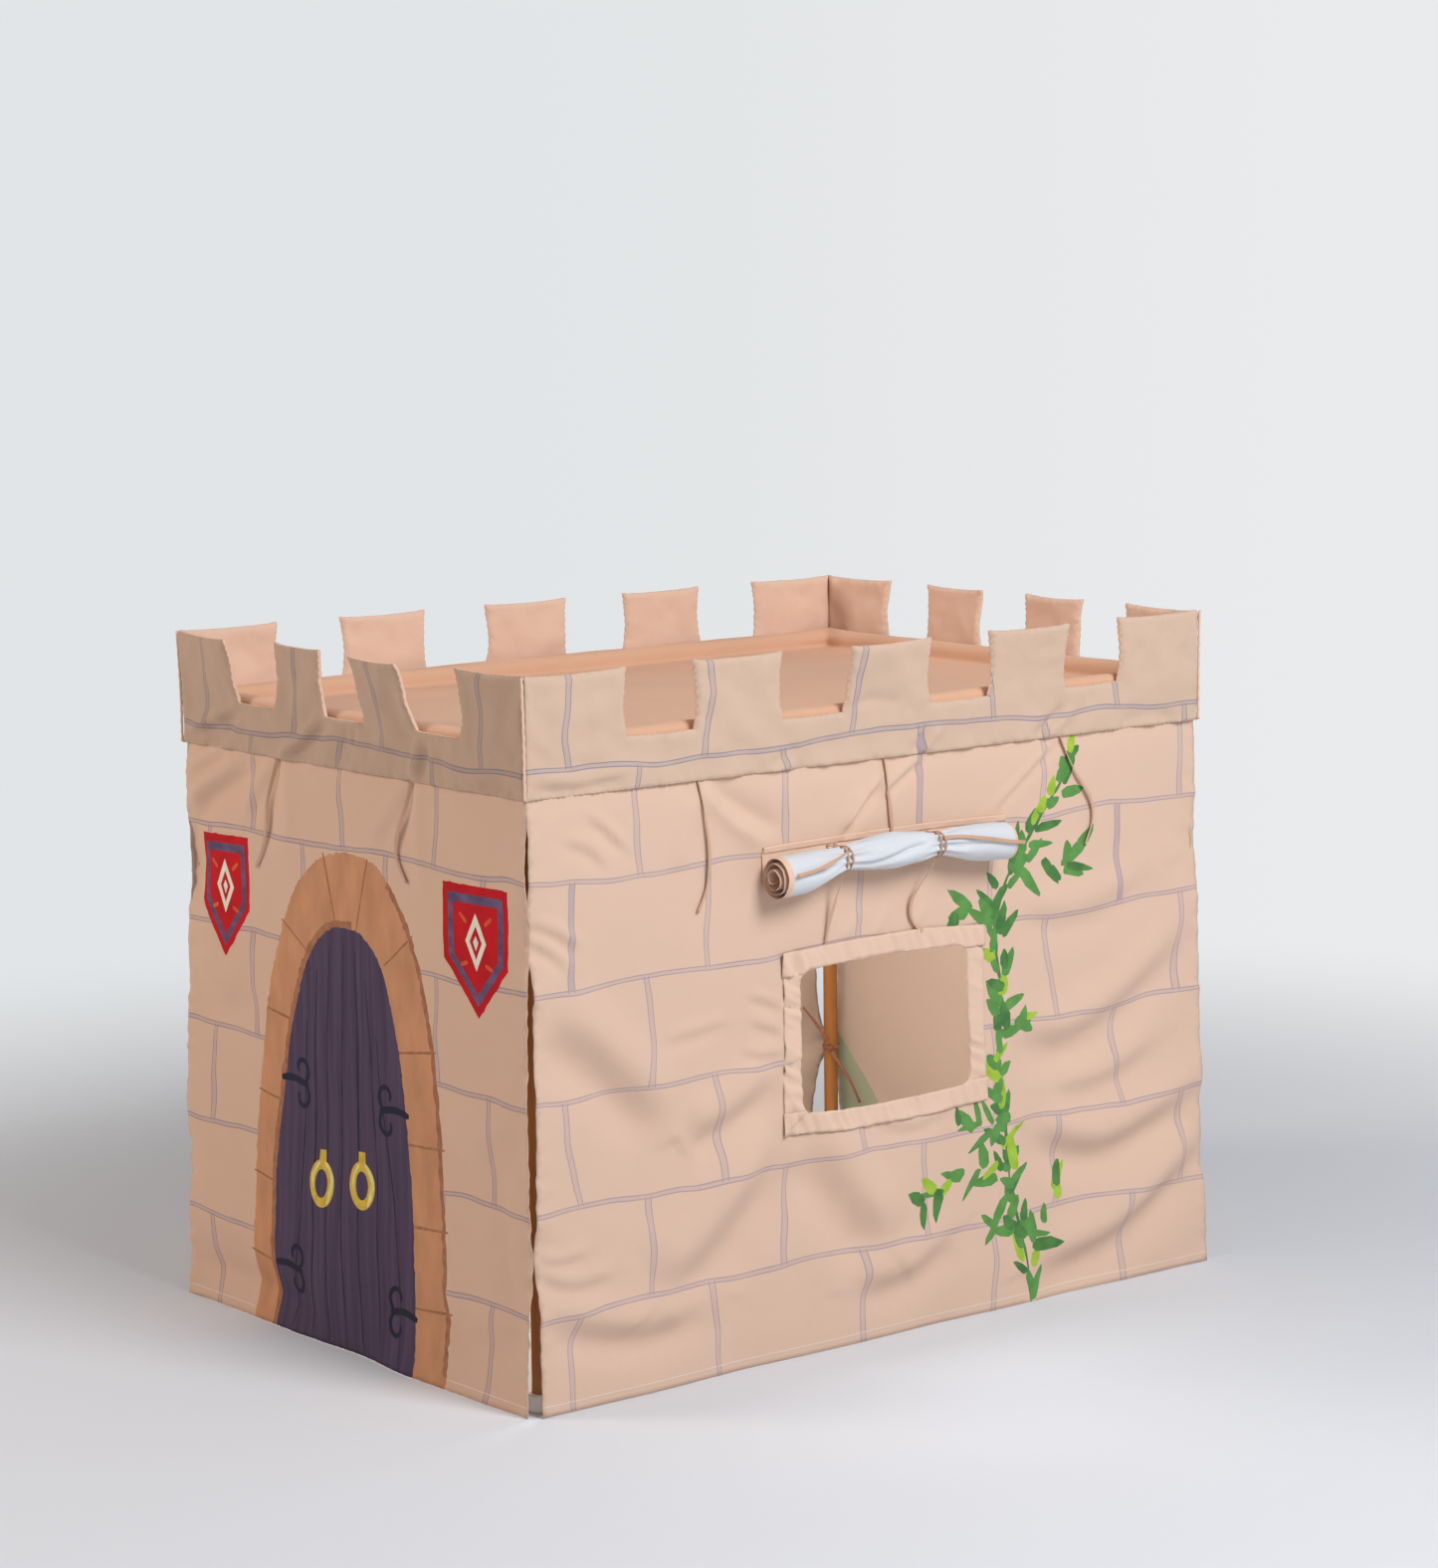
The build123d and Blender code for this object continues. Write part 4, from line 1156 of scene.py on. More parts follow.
bandFolds = {
    "front": (
        (-158, 799, -110, 826, -50, 868, 8, 34), (-140, 799, -92, 822, -34, 858, 8, -34),
        (-352, 802, -310, 812, -268, 836, 8, -30), (-402, 808, -330, 830, -244, 864, 11, 36, "tilt"),
        (158, 803, 168, 830, 172, 862, 7, 30), (176, 803, 186, 828, 190, 850, 7, -30),
        (4, 828, 6, 842, 8, 860, 4, -18), (22, 830, 24, 844, 28, 862, 4, -18),
        (300, 806, 340, 812, 400, 806, 7, -24),
    ),
    "right": (
        (-592, 812, -520, 804, -438, 812, 7, -30), (-580, 824, -500, 818, -420, 826, 8, 24),
        (46, 800, 66, 814, 80, 836, 6, -28), (64, 800, 84, 814, 100, 834, 6, 24),
        (276, 802, 304, 818, 334, 840, 7, -34), (292, 800, 322, 815, 354, 836, 7, 26),
        (-200, 806, -172, 816, -150, 830, 6, -20), (-60, 870, -20, 880, 30, 868, 7, -18),
        (440, 804, 500, 812, 560, 806, 8, -18),
    ),
    "back": (
        (-300, 804, -240, 816, -180, 840, 8, -26), (120, 802, 170, 818, 210, 846, 8, 26),
    ),
    "left": (
        (-480, 802, -420, 816, -370, 840, 8, -28), (-100, 804, -40, 812, 30, 806, 8, 26),
        (300, 802, 352, 820, 400, 848, 8, -28),
    ),
}
pipingSet = {"radius": 0.0019, "inset": 0.0014, "sides": 8, "rows": 34}


def battlementOutline(side):
    half = sides[side]["half"]
    low, crenel, top = castle["seam"], battlementSet["crenel"], castle["top"]
    waist, sag, ear = battlementSet["waist"], battlementSet["sag"], battlementSet["ear"]
    points = [(-half, low), (half, low)]
    spans = merlons[side]

    def flank(edge, way, t):  # a merlon's side edge, drawn in at its waist and rounded into the crenel
        drawnIn = way * waist * math.sin(math.pi * min(t / 0.9, 1))
        return (edge - drawnIn + (way * 0.002 if t == 0 else 0), crenel + rise * t)

    for index in range(len(spans) - 1, -1, -1):
        start, stop, *_, extra = spans[index]
        lift = top - 0.001 + extra * 0.5
        rise = lift - crenel
        if index < len(spans) - 1:
            points += [flank(stop, 1, t) for t in (0.0, 0.2, 0.45, 0.7, 0.88)]
            points.append((stop + ear * 0.6, lift))
        else:
            points.append((stop, lift))
        for t in (0.08, 0.25, 0.5, 0.75, 0.92):
            points.append((stop + (start - stop) * t, lift - ear * 0.4 - sag * math.sin(math.pi * t)))
        if index > 0:
            points.append((start - ear * 0.6, lift))
            points += [flank(start, -1, t) for t in (0.88, 0.7, 0.45, 0.2, 0.0)]
            before = spans[index - 1][1]
            for t in (0.3, 0.7):
                points.append((start + (before - start) * t, crenel - 0.0012 * math.sin(math.pi * t)))
        else:
            points.append((start, lift))
    return points


def merlonLean(side, flat):
    lean = np.zeros(len(flat))
    crenel, top = battlementSet["crenel"], castle["top"]
    rise = np.clip((flat[:, 1] - crenel + 0.012) / (top - crenel + 0.012), 0, 1.1) ** 1.35
    for start, stop, left, right, _ in merlons[side]:
        t = (flat[:, 0] - start) / (stop - start)
        here = (t > -0.25) & (t < 1.25)
        lean[here] = (left + (right - left) * np.clip(t[here], 0, 1)) * rise[here]
    return lean


def pipeCorner(side, way, first):  # piping up an outer corner: its places, its flat ones and its faces
    half, inset, around = sides[side]["half"], pipingSet["inset"], pipingSet["sides"]
    heights = np.linspace(castle["seam"] + 0.001, castle["top"] - 0.002, pipingSet["rows"])
    tube = []
    for row, height in enumerate(heights):
        lean = merlonLean(side, np.array([(way * half, height)]))[0]
        wave = 0.0005 * math.sin(row * 1.9 + way)
        reach = pipingSet["radius"] * (1 + 0.12 * math.sin(row * 2.3))
        for step in range(around):
            turn = 2 * math.pi * step / around
            along = way * (half - inset) + reach * math.cos(turn) + wave
            tube.append((along, height, lean - inset + reach * math.sin(turn)))
    tube = np.array(tube)
    faces = gridFaces(len(heights), around, first, closed=True, flip=True)
    faces.append(tuple(first + step for step in range(around)))
    faces.append(tuple(first + (len(heights) - 1) * around + step for step in range(around))[::-1])
    return toWorld(side, tube[:, :2], tube[:, 2]), tube[:, :2], faces


def makeBattlement(side):
    settings = battlementSet
    half, seamStep = sides[side]["half"], settings["edgeStep"]
    outline = turnsLeft(battlementOutline(side))
    fine = np.array(evenly(outline, seamStep))
    ends = np.abs(np.abs(fine[:, 0]) - half) < 1e-6  # the mitred corners are no seam edge of the pad
    seam = fine[~ends]
    run = np.roll(fine, -1, axis=0) - np.roll(fine, 1, axis=0)
    run /= np.linalg.norm(run, axis=1)[:, None]
    inward = np.stack((-run[:, 1], run[:, 0]), axis=1)
    tree = kdtree.KDTree(len(seam))
    for index, point in enumerate(seam):
        tree.insert((*point, 0), index)
    tree.balance()
    rows = []
    for depth, every in settings["edgeRows"]:
        for point in (fine + inward * depth)[::every]:
            clear = tree.find((point[0], point[1], 0))[2] > 0.85 * depth
            if clear and abs(point[0]) < half - 0.0008 and isInside([point], outline)[0]:
                rows.append(tuple(point))
    edging = [tuple(point) for point in evenly(outline, 0.0045)]
    flat, triangles = cutCloth(edging, settings["spacing"], extra=rows)[:2]
    nearest = [tree.find((x, y, 0)) for x, y in flat]
    depth = np.array([found[2] for found in nearest])
    travel = np.array([found[1] for found in nearest]) * seamStep
    nearSeam = flat[:, 1] < castle["seam"] + settings["seamRoundRise"]  # fuller over the seam
    rounding = np.where(nearSeam, settings["seamRound"], 1.0) * settings["round"]
    full = np.sqrt(np.clip(1 - (1 - np.clip(depth / rounding, 0, 1)) ** 2, 0, 1))
    dimpled = np.exp(-((depth - settings["dimpleDepth"]) / settings["dimpleWidth"]) ** 2)
    softer = 1 - settings["dimple"] * dimpled
    thick = settings["seamEdge"] + (settings["fullness"] - settings["seamEdge"]) * full * softer
    seed = 70.0 + list(sides).index(side)
    swell = sum(stirred(flat, size, amount, seed + more) for size, amount, more in settings["swell"])
    uneven = 5 * stirred(flat, 0.03, 1.0, seed + 9)
    gathers = settings["gathers"] * np.sin(travel / settings["gatherLength"] + uneven)
    gathers = gathers * np.exp(-depth / settings["gatherReach"]) * np.clip((depth - 0.0012) / 0.004, 0, 1)
    fromCorner = half - np.abs(flat[:, 0])
    creases = settings["creases"] * foldLift(flat, bandFolds[side])
    hem = np.exp(-(((flat[:, 1] - castle["seam"]) / settings["scallopReach"]) ** 2))
    scallops = stirred(flat, settings["scallopSize"], 1.0, seed + 25)  # small ones along the seam
    creases = creases + settings["scallop"] * hem * scallops
    relief = (swell + gathers + creases) * np.clip(fromCorner / settings["cornerHold"], 0, 1)
    middle = -castle["padThickness"] / 2 + merlonLean(side, flat) + relief
    atCorner = (1 - np.clip(fromCorner / settings["cornerRoundReach"], 0, 1)) ** 2
    cornerRound = settings["cornerRound"] * atCorner
    reach = settings["mitreReach"]
    blend = np.clip((np.abs(flat[:, 0]) - half + reach) / reach, 0, 1) ** 2
    shells = []
    for out in (middle + thick - cornerRound, middle - thick):
        moved = flat.copy()
        moved[:, 0] += np.sign(flat[:, 0]) * out * blend
        shells.append(toWorld(side, moved, out))
    count = len(flat)
    edges = dict.fromkeys(pair for a, b, c in triangles for pair in ((a, b), (b, c), (c, a)))
    rim = [pair for pair in edges if pair[::-1] not in edges]
    faces = [tuple(face) for face in triangles] + [(a + count, c + count, b + count) for a, b, c in triangles]
    faces += [(b, a, a + count, b + count) for a, b in rim]
    places, flats = np.concatenate(shells), np.concatenate((flat, flat))
    if side in ("front", "back"):  # the piping is sewn to the short sides
        for way in (-1, 1):
            tube, tubeFlat, tubeFaces = pipeCorner(side, way, len(places))
            places, flats = np.concatenate((places, tube)), np.concatenate((flats, tubeFlat))
            faces += tubeFaces
    finish = [0] * len(triangles) + [1] * (len(faces) - len(triangles))
    pad = newPiece(
        "battlement_" + side + "_pad", places, faces, [padFinish[side], plainCloth], flats, finish,
    )
    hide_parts("battlement_" + side)


for side in sides:
    makeBattlement(side)
print("castle: battlements padded")


# Roof: flat inside, up and over the rails as a sleeve, and down outside them to the seam
roofSet = {
    "sleeve": 0.0150,
    "roofHeight": castle["seam"] + 0.051,
    "sag": 0.007,
    "cornerCover": 0.0026, "coverReach": 0.055,
    "columns": (52, 80),
    "arcSteps": 8, "skirtSteps": 5,
    "printStep": 0.006,
    "ripple": 0.0011,
    "thickness": 0.0011,
}


# Over the rail and down: distance out, height, and the way in which the corners are covered
def roofProfile():
    rail, radius, seam = castle["railHeight"], roofSet["sleeve"], castle["seam"]
    profile = [(0.0, rail - 0.5 * (rail - roofSet["roofHeight"]), 0, 0)]
    for step in range(roofSet["arcSteps"] + 1):
        turn = math.pi * (1 - step / roofSet["arcSteps"])
        wayOut, wayUp = math.cos(turn), math.sin(turn)
        profile.append((radius + radius * wayOut, rail + radius * wayUp, min(wayOut, 0), wayUp))
    for step in range(1, roofSet["skirtSteps"] + 1):
        profile.append((2 * radius, rail + (seam - rail) * step / roofSet["skirtSteps"], 0, 0))
    return profile


def makeRoof():
    settings = roofSet
    countX, countY = settings["columns"]
    halfX, halfY = castle["poleX"] - settings["sleeve"], castle["poleY"] - settings["sleeve"]
    across = np.linspace(-halfX, halfX, countX + 1)
    flat = np.array([(x, y) for y in np.linspace(-halfY, halfY, countY + 1) for x in across])
    faces = gridFaces(countY + 1, countX + 1)
    toEdge = np.minimum(halfX - np.abs(flat[:, 0]), halfY - np.abs(flat[:, 1]))
    free = np.clip(toEdge / 0.10, 0, 1) ** 0.7
    swell = stirred(flat, 0.22, 0.0050, 5.0) + stirred(flat, 0.07, 0.0012, 9.0)
    height = settings["roofHeight"] - settings["sag"] * free + free * swell
    points = [(castle["middle"] + x, y, z) for (x, y), z in zip(flat, height)]
    uv = [tuple(point) for point in flat]
    ring = list(range(countX))
    ring += [row * (countX + 1) + countX for row in range(countY)]
    ring += [countY * (countX + 1) + countX - column for column in range(countX)]
    ring += [(countY - row) * (countX + 1) for row in range(countY)]
    profile = roofProfile()
    before, far = ring, 0.0
    for index, (reach, z, wayOut, wayUp) in enumerate(profile):
        current = list(range(len(points), len(points) + len(ring)))
        far += settings["printStep"]
        for x, y in flat[ring]:
            fromCorner = math.hypot(halfX - abs(x), halfY - abs(y))
            cover = settings["cornerCover"] * max(0.0, 1 - fromCorner / settings["coverReach"]) ** 0.5
            away = reach + cover * wayOut
            ripple = 0
            if 0 < index < 13:
                ripple = settings["ripple"] * noise.noise(Vector((x * 22, y * 22, index * 0.3)))
            points.append((
                castle["middle"] + x * (halfX + away) / halfX, y * (halfY + away) / halfY,
                z + ripple + cover * wayUp,
            ))
            uv.append((x * (halfX + far) / halfX, y * (halfY + far) / halfY))
        for step in range(len(ring)):
            following = (step + 1) % len(ring)
            faces.append((before[step], current[step], current[following], before[following]))
        before = current
    roof = newPiece("roof_cloth", points, faces, [roofCloth], uv, None)
    giveThickness(roof, settings["thickness"], smooth=True)
    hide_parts("roof_cover")


makeRoof()
for side in sides:
    makeWall(side)
    print("castle: wall hung,", side)


# Window facing: two side strips, with the top and bottom strips sewn over their ends
facingSet = {
    "spacing": 0.0042, "thickness": 0.0009, "lift": 0.0018, "overlap": 0.0016,
    "pucker": 0.0040, "puckerSizes": (0.0105, 0.0050),
}


def facingOutlines():
    window, wide = windowSet, windowSet["facing"]
    left, right, low, high = window["left"], window["right"], window["low"], window["high"]
    farLeft, farRight = left - wide - 0.003, right + wide
    return {
        "left": [
            (left - wide - 0.001, low - 0.001), (left + 0.026, low - 0.001),
            (left + 0.026, high + 0.001), (left - wide, high + 0.001),
        ],
        "right": [
            (right - 0.026, low - 0.001), (right + wide, low - 0.001),
            (right + wide + 0.001, high + 0.001), (right - 0.026, high + 0.001),
        ],
        "top": [
            (farLeft, high - 0.004), (farRight + 0.003, high - 0.004),
            (farRight + 0.003, high + wide - 0.004),
            (0.06, high + wide + 0.005), (-0.06, high + wide + 0.004), (farLeft, high + wide),
        ],
        "bottom": [
            (farLeft, low - wide + 0.002), (-0.05, low - wide - 0.004), (0.06, low - wide - 0.004),
            (farRight + 0.002, low - wide + 0.001), (farRight + 0.002, low + 0.004), (farLeft, low + 0.004),
        ],
    }


def makeFacing():
    opening = roundedWindow()
    pieces = []
    for number, (name, outline) in enumerate(facingOutlines().items()):
        flat, triangles = cutCloth(outline, facingSet["spacing"], holes=[opening])[:2]
        lying = name in ("top", "bottom")
        across, along = (flat[:, 0], flat[:, 1]) if lying else (flat[:, 1], flat[:, 0])
        seed = 30.0 + number
        slanted = np.stack((across + 0.4 * along, 0.13 * along), axis=1)
        coarse, fine = facingSet["puckerSizes"]
        waves = stirred(slanted, coarse, 1.0, seed) + 0.45 * stirred(slanted, fine, 1.0, seed + 7)
        ripple = facingSet["pucker"] * waves * (0.6 + np.abs(stirred(flat, 0.06, 1.5, seed + 3)))
        out = wallOut("right", flat) + facingSet["lift"] + (facingSet["overlap"] if lying else 0.0) + ripple
        places = toWorld("right", wallPlaces("right", flat), out)
        strip = newPiece("facing_" + name, places, triangles, [stoneFacing, insideCloth], flat)
        giveThickness(strip, facingSet["thickness"], 1)
        pieces.append(strip)
    facing = joinPieces(pieces)
    facing.name = "window_facing_cloth"
    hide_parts("window_facing")
    return facing


stoneFacing = finishCloth("facing cloth", colours["stoneCloth"], 0.92, 0.7)
facing = makeFacing()
print("castle: window faced")


# Blind: a leaf from the header runs down behind the roll, then round it with the lining outside
blindSet = {
    "start": -0.214, "stop": 0.196,
    "axisDrop": 0.130, "axisOut": 0.0305,
    "headerDrop": 0.1055,
    "waists": (-0.098, 0.068),
    "tieTurns": ((0.0016, 0.14), (-0.0018, -0.17)), "tieRadius": 0.0160, "tieThick": 0.0016,
    "radii": (
        (-0.214, 0.0295), (-0.162, 0.0295), (-0.126, 0.0225), (-0.098, 0.0127), (-0.072, 0.0205),
        (-0.018, 0.0275),
        (0.038, 0.0215), (0.068, 0.0127), (0.094, 0.0210), (0.138, 0.0280), (0.196, 0.0280),
    ),
    "rise": (
        (-0.214, -0.0060), (-0.170, -0.0028), (-0.130, 0.0030), (-0.098, 0.0080), (-0.020, 0.0110),
        (0.068, 0.0100), (0.100, 0.0082), (0.138, 0.0055), (0.196, 0.0012),
    ),
    "core": 0.0070, "fullRadius": 0.0265, "turns": 3.25, "binding": 0.009, "telescope": 0.0032,
    "gather": 0.0032, "gathersRound": 9, "slack": 0.0010,
    "crease": {"depth": 0.0078, "turn": 3.0, "width": 0.16, "middle": -0.007, "reach": 0.085},
    "endCrease": {"depth": 0.0058, "turn": 2.9, "width": 0.15, "slant": 4.5, "reach": 0.095},
    "thickness": 0.0009,
    "columns": 84, "steps": 128, "leafSteps": 10, "edgeSteps": 6,
}


def rollRise(x):  # the roll is held up between its ends and droops at the left
    return float(np.interp(x, *np.array(blindSet["rise"]).T))


def rollSize(x, t, outer, nearWaist):  # the roll's radius, t of the way from its outside to its core
    blind = blindSet
    turn = 2 * math.pi * blind["turns"] * t
    core = blind["core"] * outer / blind["fullRadius"]
    size = outer - (outer - core) * t ** 1.3
    pleats = math.cos(blind["gathersRound"] * turn + 14 * x)
    gather = nearWaist * blind["gather"] * pleats * (1 if turn < 2 * math.pi else 0.3)
    place = Vector((x * 26, math.cos(turn) * 1.3, math.sin(turn) * 1.3 + turn * 0.1))
    slack = blind["slack"] * noise.noise(place)
    between, end = blind["crease"], blind["endCrease"]  # one between the waists
    across = (turn - between["turn"] - 0.6 * math.sin((x + 0.01) * 17)) / between["width"]
    fade = max(0.0, 1 - (abs(x - between["middle"]) / between["reach"]) ** 2)
    crease = -between["depth"] * math.exp(-(across ** 2)) * fade
    for waist, side in zip(blind["waists"], (-1, 1)):  # and one from each waist toward its end
        toEnd = (x - waist) * side
        if 0 < toEnd < end["reach"]:
            fade = math.sin(math.pi * (toEnd / end["reach"]) ** 0.6)
            across = (turn - end["turn"] - end["slant"] * toEnd) / end["width"]
            crease -= end["depth"] * math.exp(-(across ** 2)) * fade
    return size + (gather + slack * 1.6 + crease)


def makeBlind():
    blind = blindSet
    xs = np.linspace(blind["start"], blind["stop"], blind["columns"])
    radius = np.interp(xs, *np.array(blind["radii"]).T)
    radius = np.convolve(np.pad(radius, 3, mode="edge"), np.ones(7) / 7, mode="valid")
    points, uv, finish = [], [], []
    steps, leafSteps = blind["steps"], blind["leafSteps"]
    axisHeight = castle["seam"] - blind["axisDrop"]
    headerHeight = castle["seam"] - blind["headerDrop"]
    axisOut = hangOut(blind["axisDrop"]) + blind["axisOut"]
    sewn = wallOut("right", np.stack((xs, np.full(len(xs), headerHeight)), axis=1)) + 0.0006
    for column, (x, outer) in enumerate(zip(xs, radius)):
        nearWaist = sum(math.exp(-(((x - waist) / 0.030) ** 2)) for waist in blind["waists"])
        droop = rollRise(x)
        travel, last = 0.0, None
        for step in range(leafSteps + steps + 1):
            pull = 0.0
            if step < leafSteps:
                t = step / leafSteps
                out = sewn[column] + (axisOut - outer - sewn[column]) * t ** 1.6
                height = headerHeight + (axisHeight + droop - headerHeight) * t
            else:
                t = (step - leafSteps) / steps
                turn = 2 * math.pi * blind["turns"] * t
                size = rollSize(x, t, outer, nearWaist)
                angle = math.pi + turn  # from the wall side, down and round to the front
                out = axisOut + size * math.cos(angle)
                height = axisHeight + droop + size * math.sin(angle)
                if turn:  # the inner turns stand back at the near end
                    inner = turn / (2 * math.pi * blind["turns"])
                    pull = -blind["telescope"] * 2.6 * inner * max(0.0, 1 - (x - blind["start"]) / 0.10)
            spot = Vector((out, height))
            travel += (spot - last).length if last is not None else 0
            last = spot
            points.append((x + pull, height, out))
            uv.append((x, travel + 0.35 * math.sin(x)))
    rows = leafSteps + steps + 1
    for middle in (xs[:-1] + xs[1:]) / 2:
        bound = middle < blind["start"] + blind["binding"] or middle > blind["stop"] - blind["binding"] * 0.5
        finish += [1 if bound or step > rows - blind["edgeSteps"] else 0 for step in range(rows - 1)]
    points = np.array(points)
    places = toWorld("right", points[:, :2], points[:, 2])
    faces = gridFaces(blind["columns"], rows, flip=True)
    finishes = [liningCloth, plainCloth, plainCloth, plainCloth]
    roll = newPiece("blind_roll_cloth", places, faces, finishes, uv, finish)
    giveThickness(roll, blind["thickness"], 2, smooth=True)
    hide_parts("blind_roll")


headerSet = {
    "start": -0.212, "stop": 0.224, "columns": 90, "bow": 0.0035, "ripple": 0.0007, "thickness": 0.0007,
    "profile": (
        (0.0007, -0.0030), (0.0022, -0.0026), (0.0026, 0.0000), (0.0023, 0.0026),
        (0.0034, 0.0048), (0.0026, 0.0066), (0.0008, 0.0062),
    ),
}


def makeHeader():
    header = headerSet
    flat, outs, uv = [], [], []
    for x in np.linspace(header["start"], header["stop"], header["columns"]):
        t = (x - header["start"]) / (header["stop"] - header["start"])
        bow = header["bow"] * math.sin(math.pi * t)
        for index, (out, rise) in enumerate(header["profile"]):
            flat.append((x, castle["seam"] - blindSet["headerDrop"] + bow + rise))
            outs.append(out + header["ripple"] * noise.noise(Vector((x * 60, index * 0.4, 2))))
            uv.append((x, rise))
    flat = np.array(flat)
    places = toWorld("right", flat, wallOut("right", flat) + np.array(outs))
    faces = gridFaces(header["columns"], len(header["profile"]), flip=True)
    band = newPiece("blind_header_band", places, faces, [plainCloth], uv, None)
    giveThickness(band, header["thickness"])
    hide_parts("blind_header")
    return band


header = makeHeader()
makeBlind()
print("castle: blind rolled")


# Ribbons. Routes on a wall: along it, drop below the seam, distance out of the cloth
ribbonSet = {
    "thickness": 0.0011, "folds": 7, "bareOut": 0.020, "blend": 0.012, "foldLimits": (-0.001, 0.0075),
    "flatness": 0.6, "groove": 0.45, "grooveWidth": 0.3, "widthShare": 0.88, "widthWave": 0.08,
}
wallRibbons = {
    "ribbon_front_left": ("front", 0.167, (
        (-0.166, 0.0005, 0.002), (-0.178, 0.0285, 0.0028), (-0.191, 0.061, 0.0045), (-0.193, 0.089, 0.005),
        (-0.197, 0.117, 0.004), (-0.206, 0.138, 0.0032), (-0.221, 0.155, 0.003),
    )),
    "ribbon_front_right": ("front", 0.148, (
        (0.151, 0.0005, 0.002), (0.148, 0.020, 0.003), (0.135, 0.046, 0.0045), (0.120, 0.071, 0.005),
        (0.117, 0.093, 0.004), (0.127, 0.117, 0.0035), (0.143, 0.134, 0.003),
    )),
    "ribbon_right_near": ("right", 0.177, (
        (-0.318, 0.0005, 0.002), (-0.3145, 0.029, 0.0032), (-0.308, 0.063, 0.005), (-0.305, 0.094, 0.005),
        (-0.306, 0.124, 0.004), (-0.312, 0.150, 0.0032), (-0.325, 0.172, 0.003),
    )),
    "ribbon_right_middle": ("right", 0.108, (
        (0.003, 0.0005, 0.002), (0.005, 0.028, 0.0035), (0.0085, 0.056, 0.0042), (0.010, 0.082, 0.0048),
        (0.011, 0.096, 0.0049), (0.0115, 0.108, 0.0047),
    )),
    "ribbon_right_far": ("right", 0.175, (
        (0.329, 0.0005, 0.002), (0.338, 0.026, 0.0035), (0.354, 0.053, 0.005), (0.372, 0.076, 0.0055),
        (0.386, 0.098, 0.005), (0.388, 0.121, 0.004), (0.381, 0.141, 0.0032), (0.373, 0.157, 0.003),
    )),
    "blind_tail_left_over": ("right", 0.112, (
        (-0.0980, 0.1125, 0.0425), (-0.113, 0.1135, 0.0500), (-0.133, 0.1185, 0.0570),
        (-0.156, 0.1245, 0.0615),
        (-0.179, 0.1285, 0.0630), (-0.204, 0.1310, 0.0630),
    )),
    "blind_tail_left_hanging": ("right", 0.100, (
        (-0.0955, 0.1385, 0.0285), (-0.0965, 0.157, 0.0235), (-0.099, 0.178, 0.0155),
        (-0.1025, 0.202, 0.0088),
        (-0.1055, 0.224, 0.0055), (-0.1085, 0.2365, 0.0046),
    )),
    "blind_tail_right_over": ("right", 0.136, (
        (0.0700, 0.1125, 0.0415), (0.0890, 0.1105, 0.0490), (0.113, 0.1135, 0.0560), (0.139, 0.1185, 0.0605),
        (0.164, 0.1235, 0.0620), (0.187, 0.1275, 0.0620), (0.2035, 0.1300, 0.0612),
    )),
    "blind_tail_right_hanging": ("right", 0.122, (
        (0.0700, 0.1385, 0.0285), (0.0650, 0.157, 0.0215), (0.055, 0.176, 0.013), (0.043, 0.197, 0.007),
        (0.042, 0.220, 0.005), (0.052, 0.237, 0.0044), (0.0645, 0.2435, 0.0042),
    )),
}


def hangPoint(side, along, drop, out):  # a point of a route, out of the leaning wall
    face = sides[side]
    lean = math.asin(wallSet["hemOut"] / castle["wallDrop"])
    reach = face["reach"] - wallSet["inset"] + drop * math.tan(lean) + out * math.cos(lean)
    place = Vector((castle["middle"], 0, castle["seam"] - drop + out * math.sin(lean)))
    return place + Vector(face["along"]) * along + Vector(face["outward"]) * reach


def routeLine(points):  # the smooth line of a route, read from its own curve
    curve = bpy.data.curves.new("route", "CURVE")
    curve.dimensions = "3D"
    curve.resolution_u = 8
    spline = curve.splines.new("NURBS")
    spline.points.add(len(points) - 1)
    for spot, point in zip(spline.points, points):
        spot.co = (*point, 1)
    spline.order_u = 3
    spline.use_endpoint_u = True
    holder = bpy.data.objects.new("route", curve)
    mesh = bpy.data.meshes.new_from_object(holder)
    line = [vertex.co.copy() for vertex in mesh.vertices]
    bpy.data.meshes.remove(mesh)
    bpy.data.objects.remove(holder)
    bpy.data.curves.remove(curve)
    return line


